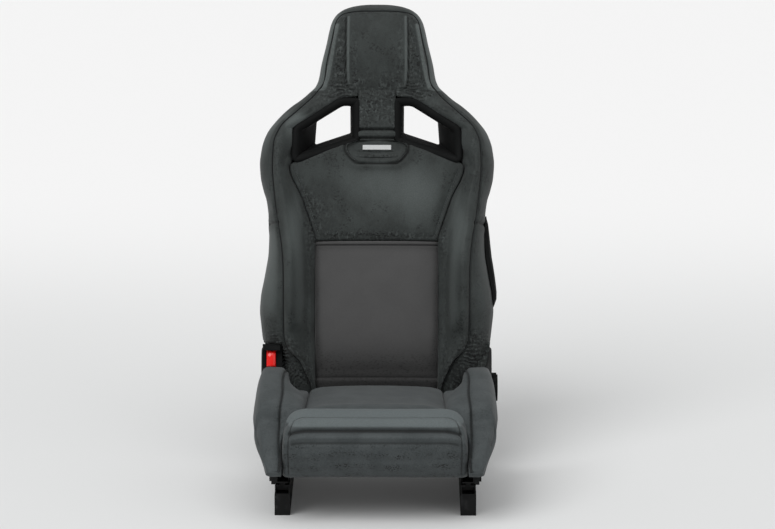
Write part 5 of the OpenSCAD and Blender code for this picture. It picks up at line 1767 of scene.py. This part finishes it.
@dataclass
class Trims:
    """Small parts that finish the seat: lever hood, shell end, rail end caps, and a dark sheet that stands in
    for the shade behind the cushion.

    Attributes:
        finishes: The finishes of the seat.
        lean: Where backrest points lie.
        hood_x: Left and right end of the hood over the red lever.
        hood: Profile of the hood, as (t, s).
        lever_x: Middle of the red lever.
        shell_s: Lower and upper face of the plug in the rear shell's top end.
        shell_half: Half width of that plug.
        shell_deep: Depth of the plug behind the backrest pads.
        rail_x: Distance of each rail from the middle.
        rail_y: Rear and front face of a seat rail's end cap.
        shield: Height of the dark sheet behind the cushion, over y.
        shield_front: Its front edge beside and behind the centre pad.
        shield_rear: Its rear edge, under the recliners' shaft.
        shield_half: Its half width, between the side members.
        rail_cap: Outline of a seat rail's end cap, as (x from the rail, z).
        lever_face: Front of the red lever, over s.
        lever_half: Half width of the red lever.
    """

    finishes: Finishes
    lean: Lean
    hood_x: tuple[float, float] = (-262.0, -222.0)
    hood: Knots = ((60, 97), (69.5, 96.2), (77, 92), (80.2, 86), (80.6, 80.5), (78.2, 80), (77.8, 84.5),
                   (75, 89), (68, 93), (60, 94))
    lever_x: float = -243.0
    shell_s: tuple[float, float] = (868.0, 883.0)
    shell_half: float = 74.0
    shell_deep: float = 21.0
    rail_x: float = 208.0
    rail_y: tuple[float, float] = (-190.2, -193.8)
    shield: Table = Table(((40, 149.5), (109, 148.5), (135, 143.5), (158, 138), (185, 135), (206, 134),
                           (211, 131), (213, 125)))
    shield_front: tuple[float, float] = (40.0, 109.4)
    shield_rear: float = 213.0
    shield_half: float = 217.4
    rail_cap: Knots = ((-13, 52), (13, 52), (13, 65), (6, 65), (6, 77), (15, 77), (15, 83.5), (-15, 83.5),
                       (-15, 77), (-6, 77), (-6, 65), (-13, 65))
    lever_face: Table = Table(((43, 71.5), (47, 74), (66, 75), (76, 73), (82, 69), (87, 65)))
    lever_half: float = 10.8

    def prism(self, name: str, body: str, low: Array, high: Array, width: float,
              finish: str = "black_plastic") -> None:
        """Makes a moulded piece between two faces of the same outline, with its edges broken."""
        count = len(low)
        faces = [list(range(count)), list(range(2 * count - 1, count - 1, -1))]
        faces += [[i, (i + 1) % count, count + (i + 1) % count, count + i] for i in range(count)]
        obj = link_mesh(name, np.vstack([low, high]), faces)
        obj.data.set_sharp_from_angle(angle=math.radians(40))
        bevel = obj.modifiers.new("broken_edges", "BEVEL")
        bevel.width, bevel.segments, bevel.limit_method = width * MM, 2, "ANGLE"
        bevel.angle_limit = math.radians(50)
        dress(obj, self.finishes.of(finish), body)

    def lever(self) -> None:
        """Makes the red lever with its crowned face."""
        def front(x: Array, s: Array) -> Array:
            """Crowned face of the lever."""
            return self.lever_face.at(s) - 3.4 * (np.abs(x) / self.lever_half) ** 2.2

        pad = Pad(lambda s: np.full(np.shape(s), self.lever_half), front,
                  lambda s: mix(62.0, 57.0, ramp(44, 60, s)), (44.0, 87.0), (2.6, 2.2), shoulder=1.0,
                  pitch=0.8, front_columns=28)
        skin = pad.skin(lambda p: self.lean(np.asarray(p, float) + np.array([self.lever_x, 0, 0])))
        obj = skin.build("fold_lever_grip", 60)
        dress(obj, self.finishes.of("lever_red"), "fold_release")
        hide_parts("fold_lever")

    def dust_shield(self) -> None:
        """Makes a thin dark sheet that closes the gap behind the cushion, standing in for the shade in that
        gap.
        """
        rings = []
        for x in stepped((-self.shield_half, self.shield_half), 3.0):
            share = float(ramp(156.5, 154.0, abs(x)))
            y = np.linspace(mix(*self.shield_front, share), self.shield_rear, 60)
            z = self.shield.at(y) + 0.8 * np.sin(x / 17.0) * np.sin((y - y[0]) / 19.0)
            under = np.stack([y, z - 2.4], 1)[::-1]
            ring = np.vstack([np.stack([y, z], 1), under])
            rings.append(np.column_stack([np.full(len(ring), x), ring]))
        obj = Skin(np.array(rings)).build("cushion_dust_shield", 40)
        dress(obj, self.finishes.of("soft_plastic"), "seat")

    def build(self) -> None:
        """Makes every trim."""
        self.dust_shield()
        ends = [self.lean(np.array([(x, t, s) for t, s in self.hood])) for x in self.hood_x]
        self.prism("lever_hood", "backrest", ends[0], ends[1], 0.7, "soft_plastic")
        self.lever()
        across = np.linspace(-1, 1, 25)
        depth = -8.8 - (self.shell_deep - 8) * (1 - np.abs(across) ** 5) ** 0.2
        rim = np.column_stack([across * self.shell_half, depth])
        ends = [self.lean(np.column_stack([rim, np.full(len(rim), s)])) for s in self.shell_s]
        self.prism("rear_shell_end", "backrest", ends[0], ends[1], 0.8)
        for side in Side:
            flat = np.array(self.rail_cap)
            ends = [np.column_stack([flat[:, 0] + side.value * self.rail_x, np.full(len(flat), y),
                                     flat[:, 1]]) for y in self.rail_y]
            self.prism(f"rail_end_cap_{side.word}", "seat", ends[0], ends[1], 0.6)


@dataclass
class Hardware:
    """Rigid parts that keep their CAD form and get their edges broken and their finishes.

    Attributes:
        finishes: The finishes of the seat.
        nodes: CAD objects by node.
        slots: The slot that each node takes its finish from.
        dulled: Nodes with a softer finish than their slot's own.
        breaks: Width of the rounded edges of some nodes.
    """

    finishes: Finishes
    nodes: dict[str, Object]
    slots: dict[str, str]
    dulled: dict[str, str] = field(default_factory=lambda: {"lever_bezel": "soft_plastic",
                                                            "hand_wheel": "soft_plastic",
                                                            "side_module_cover": "soft_plastic"})
    breaks: tuple[tuple[str, float], ...] = (
        ("riser_left", 2.2), ("riser_right", 2.2), ("fold_lever", 2.2), ("lever_bezel", 1.6),
        ("recliner_cover_left", 2.5), ("recliner_cover_right", 2.5), ("side_valance_left", 1.4),
        ("side_valance_right", 1.4), ("hand_wheel", 1.2), ("slide_latch_left", 1.0),
        ("slide_latch_right", 1.0), ("side_module_cover", 3.0), ("tag_bar", 0.5))

    def build(self, replaced: Sequence[str]) -> None:
        """Dresses every CAD node that still shows."""
        widths = dict(self.breaks)
        for name, obj in self.nodes.items():
            if name in replaced:
                continue
            slot = self.dulled.get(name, self.slots.get(name, "frame_steel"))
            obj.data.materials.clear()
            obj.data.materials.append(self.finishes.of(slot))
            if name in widths:
                self.break_edges(obj, widths[name])
            LOG.info("%s: %s", name, slot)

    @staticmethod
    def break_edges(obj: Object, width: float) -> None:
        """Welds a part's doubled points and rounds its sharp edges.

        Args:
            obj: The CAD part.
            width: Width of the rounding, in millimetres.
        """
        weld = obj.modifiers.new("weld", "WELD")
        weld.merge_threshold = 0.02 * MM
        flat = obj.modifiers.new("flat", "DECIMATE")
        flat.decimate_type = "DISSOLVE"
        flat.angle_limit = math.radians(1.0)
        bevel = obj.modifiers.new("broken_edges", "BEVEL")
        bevel.width = width * MM
        bevel.segments = 3
        bevel.limit_method = "ANGLE"
        bevel.angle_limit = math.radians(38)
        bevel.harden_normals = False
        bevel.use_clamp_overlap = True


@dataclass
class Stage:
    """Pale floor and backdrop, soft lamps, and the camera.

    Attributes:
        target: Point that the camera looks at, in millimetres.
        distance: Distance of the camera from it.
        elevation: Height of the view above the horizon, in degrees.
        azimuth: Turn of the view to the seat's right, in degrees.
        lens: Focal length in millimetres on a sensor 36 mm wide.
        shift: Shift of the picture.
        near_floor: Colour of the floor under the seat.
        far_floor: Colour of the floor far behind it.
        fade: Where the floor turns from the one to the other, in metres.
        near_lift: Light added to the floor under the seat, as the camera sees it.
        far_lift: The same far behind it.
        sky: Brightness of the sky as the seat sees it.
        seen_sky: Brightness of the sky as the camera sees it.
    """

    target: tuple[float, float, float] = (0.0, 100.0, 520.0)
    distance: float = 9000.0
    elevation: float = 13.0
    azimuth: float = 0.4
    lens: float = 182.9
    shift: tuple[float, float] = (0.01445, -0.0092)
    near_floor: str = "#d9dada"
    far_floor: str = "#dddddd"
    fade: tuple[float, float] = (0.6, 3.6)
    near_lift: float = 0.03
    far_lift: float = 0.15
    sky: float = 0.45
    seen_sky: float = 0.97

    def build(self) -> None:
        """Makes floor, world, lamps and camera."""
        bpy.context.scene.view_settings.view_transform = "Standard"
        self.floor()
        self.world()
        self.lamp("key", 1.6, 40, (-0.55, -0.75, 0.95))
        self.lamp("top", 0.85, 55, (0.1, -0.4, 1.0))
        self.lamp("fill", 0.35, 50, (0.9, -0.6, 0.4))
        self.camera()

    def floor(self) -> None:
        """Makes a large plain floor that turns paler with distance."""
        half = 30000.0
        mesh = bpy.data.meshes.new("floor")
        corners = [(-half, -half, 0), (half, -half, 0), (half, half, 0), (-half, half, 0)]
        mesh.from_pydata([tuple(v * MM for v in c) for c in corners], [], [(0, 1, 2, 3)])
        obj = bpy.data.objects.new("floor", mesh)
        bpy.context.scene.collection.objects.link(obj)
        r = Recipe("matt_studio_floor")
        parts = r.add("SeparateXYZ", {0: r.where})
        far = r.add("MapRange", {0: parts.outputs[1], 1: self.fade[0], 2: self.fade[1]}, **EASED)
        glow = r.add("MapRange", {0: far, 3: self.near_lift, 4: self.far_lift}, **EASED)
        lift = r.add("Math", {0: glow, 1: r.add("LightPath").outputs["Is Camera Ray"]}, **TIMES)
        colour = r.coats(self.near_floor, [(far, self.far_floor)])
        mesh.materials.append(r.finish(Base_Color=colour, Roughness=0.9, Specular_IOR_Level=0.1,
                                       Emission_Color=linear("#ffffff"), Emission_Strength=lift))

    def world(self) -> None:
        """Makes an even pale sky, which the camera sees as near white."""
        world = bpy.data.worlds.new("pale_studio")
        bpy.context.scene.world = world
        world.use_nodes = True
        tree = world.node_tree
        back = tree.nodes["Background"]
        back.inputs["Color"].default_value = linear("#f4f4f4")
        rays = add_node(tree, "ShaderNodeLightPath").outputs
        both = add_node(tree, "ShaderNodeMath",
                        {0: rays["Is Camera Ray"], 1: rays["Is Transmission Ray"]}, **MOST)
        level = add_node(tree, "ShaderNodeMapRange", {0: both, 3: self.sky, 4: self.seen_sky})
        tree.links.new(level.outputs[0], back.inputs["Strength"])

    @staticmethod
    def lamp(name: str, strength: float, softness: float, source: Sequence[float]) -> None:
        """Adds one soft sun lamp that shines from a direction, its softness in degrees."""
        data = bpy.data.lights.new(name, "SUN")
        data.energy = strength
        data.angle = math.radians(softness)
        obj = bpy.data.objects.new(name, data)
        obj.rotation_euler = (-Vector(source)).to_track_quat("-Z", "Y").to_euler()
        bpy.context.scene.collection.objects.link(obj)

    def camera(self) -> None:
        """Places the camera."""
        e, a = math.radians(self.elevation), math.radians(self.azimuth)
        back = Vector((math.sin(a) * math.cos(e), -math.cos(a) * math.cos(e), math.sin(e)))
        data = bpy.data.cameras.new("studio_camera")
        data.lens, data.sensor_width = self.lens, 36.0
        data.shift_x, data.shift_y = self.shift
        data.clip_end = 100.0
        obj = bpy.data.objects.new("studio_camera", data)
        obj.location = Vector(self.target) * MM + back * self.distance * MM
        obj.rotation_euler = (-back).to_track_quat("-Z", "Y").to_euler()
        bpy.context.scene.collection.objects.link(obj)
        bpy.context.scene.camera = obj


def slots_of(record: dict[str, Any]) -> dict[str, str]:
    """The material slot of each node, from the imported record."""
    return {part["node"]: part["material_slot"] for part in record["subparts"]}


def main() -> None:
    """Builds the seat's looks in order: pads, shells, hardware, stage."""
    logging.basicConfig(level=logging.INFO, format="%(name)s: %(message)s")
    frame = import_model()
    record = frame["record"]
    finishes = Finishes()
    seams = SeamTool(finishes)
    back = BackCover(finishes, seams)
    back.build()
    CushionCover(finishes, seams).build()
    seams.sew()
    Surround(finishes, back.lean).build()
    Trims(finishes, back.lean).build()
    pads = ("back_bolster", "shoulder_arm", "cushion_bolster", "belt_bezel")
    replaced = [f"{p}_{s.word}" for p in pads for s in Side]
    replaced += ["headrest_pad", "lumbar_pad", "shoulder_pad", "neck_pad", "tag_patch",
                 "cushion_centre_pad", "cushion_front_roll", "fold_lever"]
    Hardware(finishes, frame["nodes"], slots_of(record)).build(replaced)
    Stage().build()


if __name__ == "__main__":
    main()
